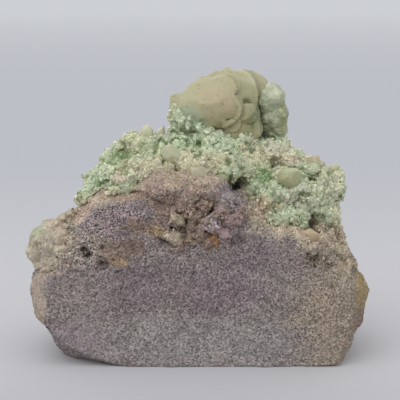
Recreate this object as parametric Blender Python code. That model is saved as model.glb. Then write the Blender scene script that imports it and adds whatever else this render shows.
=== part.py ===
"""A pollucite specimen that stands on its trimmed base.

A mauve, sugary rock carries a mint-green crust, and pale pollucite crystals grow from the crust.
+X is to the viewer's right, +Y is away from the viewer and +Z is up. The origin lies on the
resting plane, under the middle of the specimen.
"""

import math
import random

import bmesh
import bpy
from mathutils import Matrix, Vector, noise

# The driving dimension is the width. Places and sizes below are on a grid that is 112 units
# wide, so that one unit is one millimetre at the full width.
WIDTH = 0.112
GRID_WIDTH = 112
UNIT = WIDTH / GRID_WIDTH

# Neighbours grow into each other's sockets, with this clearance all round.
GAP = 0.0003

# Reliefs of the rock and the crust, each as a height, a size and a seed.
ROCK_SWELLS = [(1.3, 17, 0), (0.8, 7, 3)]
ROCK_FACES = [(3.2, 13, 1), (1.6, 6.5, 8)]
ROCK_BUMPS = (0.9, 6.5, 2)
CRUST_BUMPS = [(1.9, 6.0, 0), (0.9, 2.8, 9)]
CRUST_SWELL = (0.8, 9, 4)
CRUST_SINK = 0.9
LUMP_BUMP_SIZE = 3.4
LUMP_FACE_SIZE = 8

# The front of the rock is nearly flat up to this height, and bumpy above it.
FLAT_FRONT_TOP = 44
FRONT_FACE_SHARE = 0.15
FRONT_SWELL_SHARE = 0.55
BUMPS_START = 38
BUMPS_RISE = 10

# Small crystals on the crust: ranges of width and length, and how deep their feet sit.
CRUST_CRYSTAL_BOTTOM = 44
SMALL_WIDTHS = (2.0, 3.6)
SMALL_LENGTHS = (3.6, 5.6)
SMALL_SINK = 1.8
SMALL_LEAN = 0.55
HOLLOW_WIDTHS = (2.4, 3.6)
HOLLOW_LENGTHS = (4.0, 5.4)

# Grain of the fused shapes before they are thinned, in units.
ROCK_GRAIN = 0.9
CRUST_GRAIN = 0.8
CRYSTAL_GRAIN = 0.55

# How many triangles the fused shapes are thinned to.
ROCK_TRIANGLES = 2550
CRUST_TRIANGLES = 1250
DRUSE_TRIANGLES = 160

# The outline of a crystal, as shares of its length and of its width.
CRYSTAL_PROFILE = [(0, 0.9), (0.7, 1), (0.9, 0.76), (1, 0.42)]
SMALL_PROFILE = [(0, 0.9), (0.74, 1), (1, 0.5)]
CRYSTAL_FLATNESS = 0.85
CRYSTAL_TURN = 0.4
CRUST_CRYSTAL_SPACING = 10.4

# Small crystals may cross each other before they are fused with what they grow from.
CROWDED_SOLVER = "MANIFOLD"

# The cube below the resting plane that trims the base.
CUTTER_SIZE = 2 * GRID_WIDTH

# Edges sharper than this stay crisp.
SHARP_ANGLE = math.radians(32)

# Colours are linear red, green and blue, and each goes with a roughness.
MAUVE_ROCK = ((0.200, 0.165, 0.165), 0.85)
MINT_CRUST = ((0.400, 0.480, 0.330), 0.75)
CREAM_CRYSTAL = ((0.440, 0.400, 0.250), 0.30)
OLIVE_CRYSTAL = ((0.330, 0.340, 0.200), 0.30)
WHITE_LUMP = ((0.380, 0.420, 0.300), 0.65)
AMBER_CRYSTAL = ((0.330, 0.270, 0.200), 0.45)
VIOLET_CRYSTAL = ((0.230, 0.170, 0.190), 0.25)

# The broken blocks of the rock. Each is a ring of corners (x, z) at one depth y.
LOWER_BLOCK = {
    -27.5: [(-26, 0), (27, -2), (46, 2), (48.5, 14), (49, 26), (41, 36), (30, 42), (17, 44.5),
            (4, 41), (-8, 38), (-24, 37), (-38, 35), (-48, 28), (-51, 17), (-45, 7)],
    -14: [(-50, 5), (-55, 15), (-56.6, 24), (-51, 34), (20, 50), (44, 41), (51, 32), (55, 24),
          (55, 14), (50, 2), (47, -3), (-40, -3)],
    8: [(-43, -3), (-51, 12), (-53, 25), (-46, 40), (20, 54), (46, 42), (53, 28), (51, 12),
        (43, -3)],
    23: [(-36, -3), (-46, 14), (-44, 27), (-35, 44), (14, 50), (38, 41), (46, 24), (37, -3)],
    30: [(-24, -2), (-36, 13), (-31, 26), (-20, 36), (12, 38), (27, 30), (33, 16), (24, -2)],
}
LEFT_SHOULDER = {
    -27: [(-46, 26), (-43, 35), (-37, 41), (-26, 44), (-16, 42), (-14, 32)],
    -23.5: [(-42, 39), (-36, 46), (-27, 50.5), (-18, 51), (-12, 45)],
    -12: [(-51, 26), (-47, 41), (-41, 49), (-32, 57), (-14, 61), (-4, 53)],
    12: [(-48, 26), (-44, 44), (-30, 58), (-10, 62), (0, 50)],
}
TOP_RIDGE = {
    -19: [(-26, 48), (-18, 56), (-10, 60), (0, 60), (9, 54), (16, 46), (-10, 40)],
    -8: [(-28, 50), (-18, 63), (-4, 67), (10, 66), (26, 60), (38, 49), (0, 40)],
    14: [(-28, 48), (-16, 61), (0, 64), (18, 60), (33, 48), (0, 40)],
}
FRONT_LOBES = [  # centre, radii
    ((-9.0, -20.0, 58.0), (11.0, 5.0, 5.5)),  # the beige lobe under the crust
    ((1.5, -20.5, 57.0), (7.0, 4.5, 4.5)),
    ((10.4, -22.8, 50.4), (5.2, 5.0, 6.6)),  # the violet lobe that overhangs the hollow
    ((13.4, -21.8, 46.6), (4.2, 4.5, 5.0)),
    ((8.6, -24.6, 42.4), (2.6, 2.6, 2.6)),  # the bead under it
    ((-4.5, -23.5, 51.0), (4.6, 3.4, 2.8)),
    ((-12.5, -23.5, 49.0), (5.0, 3.4, 3.4)),
    ((-21.0, -23.0, 49.5), (8.0, 4.0, 5.0)),
]
HOLLOWS = [  # centre, radii, depth
    ((3.4, -24.0, 45.4), (5.0, 9.0, 4.2), 6.5),  # under the violet lobe
    ((-4.0, -24.0, 46.6), (5.6, 9.0, 4.6), 4.5),
    ((-9.0, -24.0, 42.6), (4.4, 8.0, 3.2), 3.4),
    ((12.6, -25.0, 42.2), (3.0, 7.0, 2.4), 4.0),
    ((-31.5, -27.5, 34.5), (3.2, 5.0, 1.9), 4.0),  # the dark hole on the left
    ((-37.0, -26.5, 38.5), (4.0, 5.0, 2.4), 2.6),
    ((-24.5, -26.0, 44.0), (3.0, 4.0, 2.0), 2.2),
    ((38.0, -26.0, 36.5), (4.0, 6.0, 2.6), 4.0),  # the crack at the upper right
    ((41.5, -26.0, 33.0), (2.2, 6.0, 4.0), 3.0),
]

# The lumps that the green crust is made of: centre, radii.
CRUST_LUMPS = [
    # left slope
    ((-36.5, -8, 51.8), (5.5, 7, 4.5)), ((-31.5, -6, 57.5), (6.5, 8, 6)),
    ((-27.0, -4, 63.5), (6.5, 8, 6)), ((-21.0, -2, 68.0), (7, 8, 6)),
    ((-25.0, -13, 57.5), (7, 6, 5)), ((-14.0, -3, 68.5), (6, 8, 6)),
    # middle, in front of and under the big crystal
    ((-15.0, -12, 63.5), (7, 6, 5)), ((-5.0, -5, 70.0), (8, 8, 6)),
    ((-1.0, -12, 65.5), (7, 6, 5)), ((5.0, -5, 70.0), (8, 8, 6)),
    ((9.0, -12, 63.5), (6, 6, 6)), ((14.0, -3, 69.0), (7, 8, 6.5)),
    # right slope and the mass that overhangs the rock
    ((23.0, 1, 68.0), (8, 8, 6)), ((31.0, 1, 63.5), (7, 8, 5.5)), ((37.5, -2, 59.5), (6, 8, 5)),
    ((24.0, -13, 56.0), (9, 6.5, 7)), ((33.0, -13, 54.0), (9, 7, 7.5)),
    ((43.5, -11, 56.0), (6.0, 7, 5.5)), ((42.5, -12, 48.5), (5.5, 6.5, 5)),
    ((27.0, -17, 48.0), (10, 5, 5)), ((17.0, -9, 61.5), (7, 6, 6)),
    ((15.0, -8, 56.5), (6, 6, 6)),
    # back
    ((-31, 6, 55), (9, 10, 7)), ((-18, 9, 63), (10, 10, 7)), ((-4, 9, 66), (10, 11, 7)),
    ((10, 10, 65), (10, 10, 7)), ((24, 8, 62), (9, 10, 6.5)), ((36, 5, 54), (8, 9, 7)),
    ((-24, 19, 51), (9, 7, 8)), ((-8, 20, 55), (10, 7, 8)), ((9, 21, 54), (10, 7, 8)),
    ((25, 18, 50), (9, 7, 8)),
]

# The big pollucite crystal mass: rounded blocks grown together.
KNOB_LOBES = [  # centre, radii, turn about +Y in degrees
    ((2.5, -3.5, 83.0), (10.4, 8.6, 9.2), -24),
    ((-3.0, -0.5, 79.0), (7.2, 7.5, 7.4), 0),
    ((11.0, 1.0, 84.6), (9.4, 9.0, 9.0), 18),
    ((6.0, 5.0, 84.5), (9.5, 8.0, 9.4), 0),
    ((8.0, -2.0, 84.0), (9.0, 8.4, 9.2), 0),
    ((11.6, -2.6, 80.0), (7.6, 6.6, 7.2), 0),
    ((8.8, 1.0, 92.6), (3.0, 3.4, 3.0), 45),
    ((16.6, 3.0, 88.2), (7.4, 6.6, 6.2), 20),
    ((12.5, -4.5, 76.0), (4.6, 4.4, 5.4), 10),
    ((16.5, -1.5, 75.0), (3.6, 4.4, 5.0), -12),
    ((7.5, -3.0, 75.0), (5.0, 5.0, 4.6), 0),
    ((-6.2, 1.0, 84.0), (3.4, 4.5, 3.4), 0),
]
WHITE_LUMPS = [  # centre, radii
    ((23.8, 1.0, 85.4), (5.4, 6.0, 5.2)), ((26.0, 1.0, 79.6), (4.4, 5.6, 5.0)),
    ((22.0, 3.5, 79.6), (4.4, 6.0, 6.2)), ((27.0, 3.0, 75.6), (3.2, 4.6, 4.0)),
    ((25.0, 4.0, 72.0), (4.2, 4.6, 5.0)),
]
LEFT_CLUSTER = [
    ((-52.0, -11.5, 39.5), (4.8, 6.5, 4.2)), ((-54.0, -11.5, 35.0), (4.0, 6.0, 3.4)),
    ((-51.5, -11.0, 31.0), (4.2, 6.5, 3.4)), ((-49.0, -9.0, 42.5), (4.8, 6.5, 3.0)),
    ((-48.0, -15.0, 38.5), (4.6, 6.0, 4.8)), ((-48.5, -15.0, 33.0), (4.0, 5.5, 4.2)),
]

# The hollow under the violet lobe has a crust of crystals on its floor.
HOLLOW_FLOOR_DEPTH = -20.5
HOLLOW_FLOOR = [
    ((-4.5, HOLLOW_FLOOR_DEPTH, 45.6), (6.5, 3.0, 4.4)),
    ((3.4, HOLLOW_FLOOR_DEPTH, 44.8), (5.4, 3.0, 4.0)),
    ((-9.0, HOLLOW_FLOOR_DEPTH, 42.8), (4.4, 3.0, 3.0)),
]
HOLLOW_CRYSTALS = [
    (-11, 43.2), (-8, 45.4), (-7.6, 41.6), (-4.6, 47.6), (-4, 44), (-1.2, 46.4), (1.4, 43.6),
    (2.4, 47), (4.6, 42.6), (5.6, 45.6),
]

# Single crystals that stand out of the crust and the rock:
# name, foot, direction of growth, width, length, sides, finish.
CRYSTALS = [
    ("ridge_crystal_left", (-17.2, -3, 68.6), (-0.05, -0.15, 1), 4.4, 8.4, 6, OLIVE_CRYSTAL),
    ("ridge_crystal_right", (-13.2, -3, 69.2), (0.05, -0.15, 1), 3.4, 7.6, 6, CREAM_CRYSTAL),
    ("ridge_end_crystal", (-20.5, -6, 65.0), (-0.4, -0.6, 0.7), 4.6, 8.2, 5, OLIVE_CRYSTAL),
    ("leaning_crystal", (-8.2, -11, 62.2), (-0.2, -0.8, 0.9), 6.4, 10.5, 6, CREAM_CRYSTAL),
    ("low_crystal", (-12.0, -12, 59.8), (-0.1, -0.9, 0.5), 5.6, 9.0, 5, CREAM_CRYSTAL),
    ("left_slope_crystal", (-26.0, -6, 59.8), (-0.6, -0.75, 0.6), 6.0, 10.5, 4, OLIVE_CRYSTAL),
    ("small_slope_crystal", (-19.5, -11.5, 61.0), (0.0, -0.9, 0.4), 5.0, 8.6, 4, CREAM_CRYSTAL),
    ("lens_crystal", (-1.0, -15, 61.2), (0.0, -1, 0.2), 8.2, 9.4, 8, CREAM_CRYSTAL),
    ("shaded_crystal", (8.0, -14, 60.2), (-0.1, -0.9, 0.1), 5.0, 8.6, 5, OLIVE_CRYSTAL),
    ("olive_crystal", (28.8, -15, 59.6), (0.1, -1, 0.3), 8.4, 10.6, 6, OLIVE_CRYSTAL),
    ("upper_right_crystal", (36.4, -5, 59.4), (0.35, -0.6, 0.7), 5.4, 7.6, 4, CREAM_CRYSTAL),
    ("corner_crystal", (42.4, -9, 56.8), (0.35, -0.3, 0.9), 5.6, 8.0, 4, OLIVE_CRYSTAL),
    ("amber_crystal", (35.2, -21.5, 42.0), (0.1, -1, 0.15), 7.4, 8.0, 6, AMBER_CRYSTAL),
    ("back_crystal_left", (-14.0, 17, 62.0), (-0.2, 0.8, 0.6), 6.4, 12.0, 6, CREAM_CRYSTAL),
    ("back_crystal_right", (13.0, 18, 62.0), (0.25, 0.8, 0.5), 5.6, 11.0, 4, OLIVE_CRYSTAL),
]


# Shapes, added to one mesh


def add_block(shape, rings):
    """Adds the convex block through the corners of all its rings."""
    corners = [shape.verts.new((x, depth, z)) for depth, ring in rings.items() for x, z in ring]
    bmesh.ops.convex_hull(shape, input=corners)
    inner = [corner for corner in corners if not corner.link_faces]
    bmesh.ops.delete(shape, geom=inner, context="VERTS")


def add_lump(shape, centre, radii, turn=0):
    """Adds an egg-shaped lump, turned about the depth axis."""
    place = Matrix.Translation(centre)
    place = place @ Matrix.Rotation(math.radians(turn), 4, "Y") @ Matrix.Diagonal((*radii, 1))
    bmesh.ops.create_icosphere(shape, subdivisions=3, radius=1, matrix=place)


def add_crystal(shape, foot, growth, width, length, sides, turn, profile=CRYSTAL_PROFILE):
    """Adds a stubby prism whose top is cut by slanting faces. The growth is a direction."""
    place = Matrix.Translation(foot) @ Vector(growth).to_track_quat("Z", "Y").to_matrix().to_4x4()
    rings = []
    for height, spread in profile:
        ring = []
        for side in range(sides):
            angle = turn + math.tau * side / sides
            across = Vector((math.cos(angle), math.sin(angle) * CRYSTAL_FLATNESS, 0))
            point = across * width / 2 * spread + Vector((0, 0, height * length))
            ring.append(shape.verts.new(place @ point))
        rings.append(ring)
    for low, high in zip(rings, rings[1:]):
        for side in range(sides):
            after = (side + 1) % sides
            shape.faces.new((low[side], low[after], high[after], high[side]))
    shape.faces.new(rings[0][::-1])
    shape.faces.new(rings[-1])


# Objects and what is done to them


def object_of(name, shape):
    mesh = bpy.data.meshes.new(name)
    shape.to_mesh(mesh)
    shape.free()
    obj = bpy.data.objects.new(name, mesh)
    bpy.context.scene.collection.objects.link(obj)
    return obj


def remove(obj):
    mesh = obj.data
    bpy.data.objects.remove(obj)
    bpy.data.meshes.remove(mesh)


def apply_modifier(obj, kind, **settings):
    modifier = obj.modifiers.new(kind.title(), kind)
    for name, value in settings.items():
        setattr(modifier, name, value)
    graph = bpy.context.evaluated_depsgraph_get()
    mesh = bpy.data.meshes.new_from_object(obj.evaluated_get(graph))
    obj.modifiers.clear()
    old = obj.data
    obj.data = mesh
    bpy.data.meshes.remove(old)


def fuse(obj, grain):
    """Makes one skin of shapes that reach into each other."""
    apply_modifier(obj, "REMESH", mode="VOXEL", voxel_size=grain)


def move_points(obj, shift):
    """Moves each point by what the shift gives for its place and normal."""
    shape = bmesh.new()
    shape.from_mesh(obj.data)
    shape.normal_update()
    moves = [shift(point.co, point.normal) for point in shape.verts]
    for point, move in zip(shape.verts, moves):
        point.co += move
    shape.to_mesh(obj.data)
    shape.free()


def thin(obj, triangles):
    """Leaves about this many triangles, with more of them where the shape is rough."""
    obj.data.calc_loop_triangles()
    share = triangles / len(obj.data.loop_triangles)
    apply_modifier(obj, "DECIMATE", ratio=min(share, 1), use_collapse_triangulate=True)


def combine(obj, other, operation, solver="EXACT"):
    """Joins another object to this one, or cuts it out, and removes the other."""
    apply_modifier(obj, "BOOLEAN", object=other, operation=operation, solver=solver)
    remove(other)


def socket_of(obj):
    """A copy with the clearance all round, for cutting out of a neighbour."""
    shape = bmesh.new()
    shape.from_mesh(obj.data)
    shape.normal_update()
    moves = [p.normal * GAP / UNIT * min(p.calc_shell_factor(), 1.6) for p in shape.verts]
    for point, move in zip(shape.verts, moves):
        point.co += move
    return object_of(obj.name + "_socket", shape)


def keep_main_body(obj):
    """Removes the crumbs that a cut has left beside the main body, and hollows sealed in it."""
    shape = bmesh.new()
    shape.from_mesh(obj.data)
    unseen = set(shape.verts)
    bodies = []
    while unseen:
        body = {unseen.pop()}
        edge_of_search = list(body)
        while edge_of_search:
            point = edge_of_search.pop()
            for edge in point.link_edges:
                other = edge.other_vert(point)
                if other in unseen:
                    unseen.remove(other)
                    body.add(other)
                    edge_of_search.append(other)
        bodies.append(body)
    bodies.sort(key=len)
    crumbs = [point for body in bodies[:-1] for point in body]
    bmesh.ops.delete(shape, geom=crumbs, context="VERTS")
    shape.to_mesh(obj.data)
    shape.free()


# Reliefs, as heights along the normal


def waves(place, height, size, seed):
    """Smooth swells, from about -1 to 1 times the height."""
    return height * noise.noise(place / size + Vector((seed, seed, seed)))


def knobbles(place, height, size, seed):
    """Round bumps with creases between them, from 0 in a crease to about the height on a top."""
    distances = noise.voronoi(place / size + Vector((seed, seed, seed)))[0]
    return height * min(distances[1] - distances[0], 1)


def facets(place, height, size, seed):
    """Flat faces, each tilted its own way, from about -0.5 to 0.5 times the height."""
    spot = place / size + Vector((seed, seed, seed))
    middle = noise.voronoi(spot)[1][0]
    tilt = noise.cell_vector(middle * 9.7) - Vector((0.5, 0.5, 0.5))
    return height * (spot - middle).dot(tilt)


def material(name, finish):
    (red, green, blue), roughness = finish
    made = bpy.data.materials.new(name)
    made.use_nodes = True
    shader = made.node_tree.nodes["Principled BSDF"]
    shader.inputs["Base Color"].default_value = (red, green, blue, 1)
    shader.inputs["Roughness"].default_value = roughness
    shader.inputs["Metallic"].default_value = 0
    return made


def rock_height(place, normal):
    """The broken rock: slow waves and small bumps, and tilted faces on all sides but the front."""
    swells = sum(waves(place, *swell) for swell in ROCK_SWELLS)
    broken = sum(facets(place, *face) for face in ROCK_FACES)
    front = max(0, -normal.y)
    even = front * front * (1 if place.z < FLAT_FRONT_TOP else 0.5)
    upper = min(1, max(0, (place.z - BUMPS_START) / BUMPS_RISE))
    bumps = knobbles(place, *ROCK_BUMPS) * (0.3 + 0.7 * upper)
    swells *= 1 - (1 - FRONT_SWELL_SHARE) * even
    broken *= 1 - (1 - FRONT_FACE_SHARE) * even
    return normal * (swells + broken + bumps)


def hollow_push(place):
    """How far the hollows push a place of the front face into the rock."""
    push = 0
    for centre, radii, depth in HOLLOWS:
        reach = sum(((place[i] - centre[i]) / radii[i]) ** 2 for i in range(3))
        if reach < 1:
            push = max(push, depth * (1 - reach))
    return push


def cut_below(obj, level):
    """Cuts the object off flat at a height, which leaves its rest face."""
    shape = bmesh.new()
    place = Matrix.Translation((0, 0, level - 0.5 * CUTTER_SIZE))
    bmesh.ops.create_cube(shape, size=CUTTER_SIZE, matrix=place)
    combine(obj, object_of("ground", shape), "DIFFERENCE")


def make_matrix():
    shape = bmesh.new()
    for rings in (LOWER_BLOCK, LEFT_SHOULDER, TOP_RIDGE):
        add_block(shape, rings)
    for centre, radii in FRONT_LOBES:
        add_lump(shape, centre, radii)
    rock = object_of("matrix", shape)
    fuse(rock, ROCK_GRAIN)
    move_points(rock, rock_height)
    move_points(rock, lambda place, normal: Vector((0, hollow_push(place), 0)))
    thin(rock, ROCK_TRIANGLES)
    cut_below(rock, 0)
    keep_main_body(rock)
    return rock


def crust_height(place, normal):
    """The sugary crust: cauliflower bumps of two sizes, with creases between them."""
    bumps = sum(knobbles(place, *bump) for bump in CRUST_BUMPS)
    return normal * (bumps + waves(place, *CRUST_SWELL) - CRUST_SINK)


def add_crust_crystals(crust):
    """Fuses small crystals with the crust, spaced out over its outer side."""
    dice = random.Random(11)
    shape = bmesh.new()
    places = []
    faces = list(crust.data.polygons)
    dice.shuffle(faces)
    for face in faces:
        outwards = face.normal.z > -0.2 and face.center.z > CRUST_CRYSTAL_BOTTOM
        near = any((face.center - other).length < CRUST_CRYSTAL_SPACING for other in places)
        if not outwards or near:
            continue
        places.append(face.center.copy())
        lean = Vector((dice.uniform(-1, 1), dice.uniform(-1, 1), dice.uniform(-0.4, 1)))
        growth = face.normal + SMALL_LEAN * lean
        width = dice.uniform(*SMALL_WIDTHS)
        length = dice.uniform(*SMALL_LENGTHS)
        foot = face.center - growth.normalized() * SMALL_SINK
        add_crystal(shape, foot, growth, width, length, 4, dice.random(), SMALL_PROFILE)
    combine(crust, object_of("crust_crystals", shape), "UNION", CROWDED_SOLVER)


def make_crust():
    shape = bmesh.new()
    for centre, radii in CRUST_LUMPS:
        add_lump(shape, centre, radii)
    crust = object_of("green_crust", shape)
    fuse(crust, CRUST_GRAIN)
    move_points(crust, crust_height)
    thin(crust, CRUST_TRIANGLES)
    add_crust_crystals(crust)
    return crust


def make_lumps(name, lumps, triangles, bumpy, faceted):
    """A node of rounded lumps grown together, with small bumps and gently tilted faces."""

    def height(place, normal):
        bumps = knobbles(place, bumpy, LUMP_BUMP_SIZE, 6) - 0.4 * bumpy
        return normal * (bumps + facets(place, faceted, LUMP_FACE_SIZE, 2))

    shape = bmesh.new()
    for lump in lumps:
        add_lump(shape, *lump)
    obj = object_of(name, shape)
    fuse(obj, CRYSTAL_GRAIN)
    move_points(obj, height)
    thin(obj, triangles)
    return obj


def make_crystal(name, foot, growth, width, length, sides):
    shape = bmesh.new()
    add_crystal(shape, foot, growth, width, length, sides, CRYSTAL_TURN)
    return object_of(name, shape)


def make_hollow_crystals():
    """The druse on the floor of the hollow: a thin crust that carries small crystals."""
    dice = random.Random(5)
    shape = bmesh.new()
    for centre, radii in HOLLOW_FLOOR:
        add_lump(shape, centre, radii)
    druse = object_of("hollow_crystals", shape)
    fuse(druse, CRYSTAL_GRAIN)
    thin(druse, DRUSE_TRIANGLES)
    shape = bmesh.new()
    for x, z in HOLLOW_CRYSTALS:
        growth = (dice.uniform(-0.5, 0.5), -1, dice.uniform(-0.3, 0.5))
        foot = (x, HOLLOW_FLOOR_DEPTH, z)
        width = dice.uniform(*HOLLOW_WIDTHS)
        length = dice.uniform(*HOLLOW_LENGTHS)
        add_crystal(shape, foot, growth, width, length, 4, dice.random(), SMALL_PROFILE)
    combine(druse, object_of("crystals", shape), "UNION", CROWDED_SOLVER)
    return druse


def make_specimen():
    """Makes all pieces, the ones that grew first cutting their sockets in those around them."""
    rock = make_matrix()
    crust = make_crust()
    pieces = {
        rock: MAUVE_ROCK,
        make_lumps("pollucite_knob", KNOB_LOBES, 760, bumpy=0.35, faceted=1.8): CREAM_CRYSTAL,
        make_lumps("pale_lump", WHITE_LUMPS, 340, bumpy=1, faceted=0): WHITE_LUMP,
        make_lumps("left_cluster", LEFT_CLUSTER, 220, bumpy=1, faceted=0): WHITE_LUMP,
        make_hollow_crystals(): VIOLET_CRYSTAL,
    }
    for name, foot, growth, width, length, sides, finish in CRYSTALS:
        pieces[make_crystal(name, foot, growth, width, length, sides)] = finish
    pieces[crust] = MINT_CRUST
    settled = []
    for piece, finish in pieces.items():
        for other in settled:
            if boxes_meet(piece, other):
                combine(piece, socket_of(other), "DIFFERENCE")
        keep_main_body(piece)
        piece.data.materials.clear()
        piece.data.materials.append(material(piece.name, finish))
        piece.data.shade_smooth()
        piece.data.set_sharp_from_angle(angle=SHARP_ANGLE)
        settled.append(piece)
    place_on_origin(settled)


def boxes_meet(one, other):
    low_one, high_one = corners_of([one])
    low_other, high_other = corners_of([other])
    clearance = 2 * GAP / UNIT
    return all(
        low_one[i] < high_other[i] + clearance and low_other[i] < high_one[i] + clearance
        for i in range(3)
    )


def corners_of(objects):
    points = [point.co for obj in objects for point in obj.data.vertices]
    low = [min(point[i] for point in points) for i in range(3)]
    high = [max(point[i] for point in points) for i in range(3)]
    return low, high


def place_on_origin(pieces):
    """Centres the specimen over the origin and brings it to its real width, in metres."""
    low, high = corners_of(pieces)
    scale = WIDTH / (high[0] - low[0])
    middle = Vector(((low[0] + high[0]) / 2, (low[1] + high[1]) / 2, low[2]))
    for piece in pieces:
        piece.data.transform(Matrix.Scale(scale, 4) @ Matrix.Translation(-middle))
        piece.data.update()


for old in list(bpy.data.objects):
    bpy.data.objects.remove(old, do_unlink=True)
make_specimen()
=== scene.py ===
# %% [markdown]
# # A pollucite specimen
# The specimen is a mauve, fine-grained rock that carries a mint-green sugary crust and pale, waxy
# pollucite crystals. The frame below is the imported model, in metres: each of its solids is replaced
# here by a finer mesh of the same place and size. Lengths in this lesson are millimetres, and `MM`
# turns them into metres.

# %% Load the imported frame
import math
from collections import namedtuple

import bmesh
import bpy
import numpy as np
from mathutils import Matrix, Vector, noise
from mathutils.bvhtree import BVHTree


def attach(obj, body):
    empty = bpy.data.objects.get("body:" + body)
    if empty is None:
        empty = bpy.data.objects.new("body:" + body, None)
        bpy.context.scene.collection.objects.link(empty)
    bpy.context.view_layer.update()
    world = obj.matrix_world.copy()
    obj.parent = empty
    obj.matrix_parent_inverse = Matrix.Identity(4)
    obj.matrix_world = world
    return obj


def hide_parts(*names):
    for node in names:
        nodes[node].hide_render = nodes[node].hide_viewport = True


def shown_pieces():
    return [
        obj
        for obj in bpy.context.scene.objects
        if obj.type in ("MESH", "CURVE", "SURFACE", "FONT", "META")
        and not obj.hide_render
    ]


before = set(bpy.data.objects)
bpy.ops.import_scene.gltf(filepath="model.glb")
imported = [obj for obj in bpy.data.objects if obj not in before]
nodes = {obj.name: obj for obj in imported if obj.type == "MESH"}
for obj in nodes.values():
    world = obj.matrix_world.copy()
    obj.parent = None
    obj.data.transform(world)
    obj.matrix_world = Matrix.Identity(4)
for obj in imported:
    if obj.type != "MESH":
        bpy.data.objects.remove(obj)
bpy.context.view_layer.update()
scene = bpy.context.scene
MM = 0.001

# %% [markdown]
# ## The camera
# The photo looks slightly down on the specimen through a long lens. The camera comes first, because
# patches of colour are placed by the pixel of the photo where they show: a ray through that pixel
# finds the place on the stone, so a patch always lies on the surface that carries it.

# %% Camera
PHOTO_PIXELS = 400
FOCAL_PIXELS = 1260
SENSOR_WIDTH = 36.0
ELEVATION = math.radians(10)
DISTANCE = 420.0
TARGET = np.array((0.9, 0.0, 49.1))

RIGHT = np.array((1.0, 0.0, 0.0))
UP = np.array((0.0, math.sin(ELEVATION), math.cos(ELEVATION)))
AHEAD = np.array((0.0, math.cos(ELEVATION), -math.sin(ELEVATION)))
EYE = TARGET - AHEAD * DISTANCE
PIXEL = DISTANCE / FOCAL_PIXELS

lens = bpy.data.cameras.new("camera")
lens.sensor_width = SENSOR_WIDTH
lens.lens = FOCAL_PIXELS / PHOTO_PIXELS * SENSOR_WIDTH
camera = bpy.data.objects.new("camera", lens)
camera.location = EYE * MM
camera.rotation_euler = (math.pi / 2 - ELEVATION, 0, 0)
scene.collection.objects.link(camera)
scene.camera = camera
scene.view_settings.view_transform = "Standard"
print("one pixel covers", round(PIXEL, 3), "mm of the specimen")

# %% [markdown]
# ## Places on the stone
# `spot` casts a ray through a pixel and returns where it meets the frame. A pixel beside the outline
# falls back to an upright plane through the specimen. `tree_of` builds the search tree that the ray
# needs, and that later tells how near one piece lies to another.

# %% Find a place by its pixel
HALF = PHOTO_PIXELS / 2
PLANE_DEPTH = -12.0


def tree_of(*names):
    """A search tree over the frame's nodes, in millimetres."""
    points = []
    faces = []
    for name in names:
        mesh = nodes[name].data
        start = len(points)
        points += [vertex.co / MM for vertex in mesh.vertices]
        faces += [[start + corner for corner in face.vertices] for face in mesh.polygons]
    return BVHTree.FromPolygons(points, faces)


whole = tree_of(*nodes)


def way_through(px, py):
    """The direction from the eye through a pixel."""
    return AHEAD + RIGHT * (px - HALF) / FOCAL_PIXELS - UP * (py - HALF) / FOCAL_PIXELS


def at_depth(px, py, deep):
    """The point behind a pixel on the upright plane y = deep."""
    way = way_through(px, py)
    return EYE + way * (deep - EYE[1]) / way[1]


def spot(px, py):
    """The point of the specimen that shows at a pixel of the photo, in millimetres."""
    found = whole.ray_cast(Vector(EYE), Vector(way_through(px, py)))[0]
    return at_depth(px, py, PLANE_DEPTH) if found is None else np.array(found)


print("the olive crystal shows at", spot(287, 180).round(1))

# %% [markdown]
# ## Node graphs written as Python
# Materials and geometry trees are both graphs. `Graph.node` adds any node: its settings come first,
# then the values or links of its sockets. `Wire` wraps one output and carries the arithmetic signs,
# so `1 - mask * 0.5` adds the Math nodes that it needs.

# %% Graph and Wire
def find_socket(sockets, key):
    """A socket by its number, or the first one in use that has the name."""
    if isinstance(key, int):
        return sockets[key]
    return next(socket for socket in sockets if socket.name == key and socket.enabled)


class Wire:
    """One output socket, which Python's operators work on."""

    def __init__(self, graph, socket):
        self.graph = graph
        self.socket = socket

    def maths(self, operation, *values):
        inputs = dict(enumerate(values))
        return self.graph.node("ShaderNodeMath", {"operation": operation}, inputs)

    def other(self, name):
        """Another output of the same node."""
        return Wire(self.graph, find_socket(self.socket.node.outputs, name))

    def __add__(self, value):
        return self.maths("ADD", self, value)

    def __radd__(self, value):
        return self.maths("ADD", value, self)

    def __sub__(self, value):
        return self.maths("SUBTRACT", self, value)

    def __rsub__(self, value):
        return self.maths("SUBTRACT", value, self)

    def __mul__(self, value):
        return self.maths("MULTIPLY", self, value)

    def __rmul__(self, value):
        return self.maths("MULTIPLY", value, self)

    def __gt__(self, value):
        return self.maths("GREATER_THAN", self, value)

    def __lt__(self, value):
        return self.maths("LESS_THAN", self, value)


class Graph:
    """A node tree that is filled by calls of node()."""

    def __init__(self, tree):
        self.tree = tree

    def node(self, kind, settings=None, inputs=None, output=0):
        """Adds a node, sets it up, joins its inputs and returns one output."""
        made = self.tree.nodes.new(kind)
        for name, value in (settings or {}).items():
            setattr(made, name, value)
        for key, value in (inputs or {}).items():
            socket = find_socket(made.inputs, key)
            if isinstance(value, Wire):
                self.tree.links.new(value.socket, socket)
            else:
                socket.default_value = value
        if not made.outputs:
            return None
        return Wire(self, find_socket(made.outputs, output))
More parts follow.
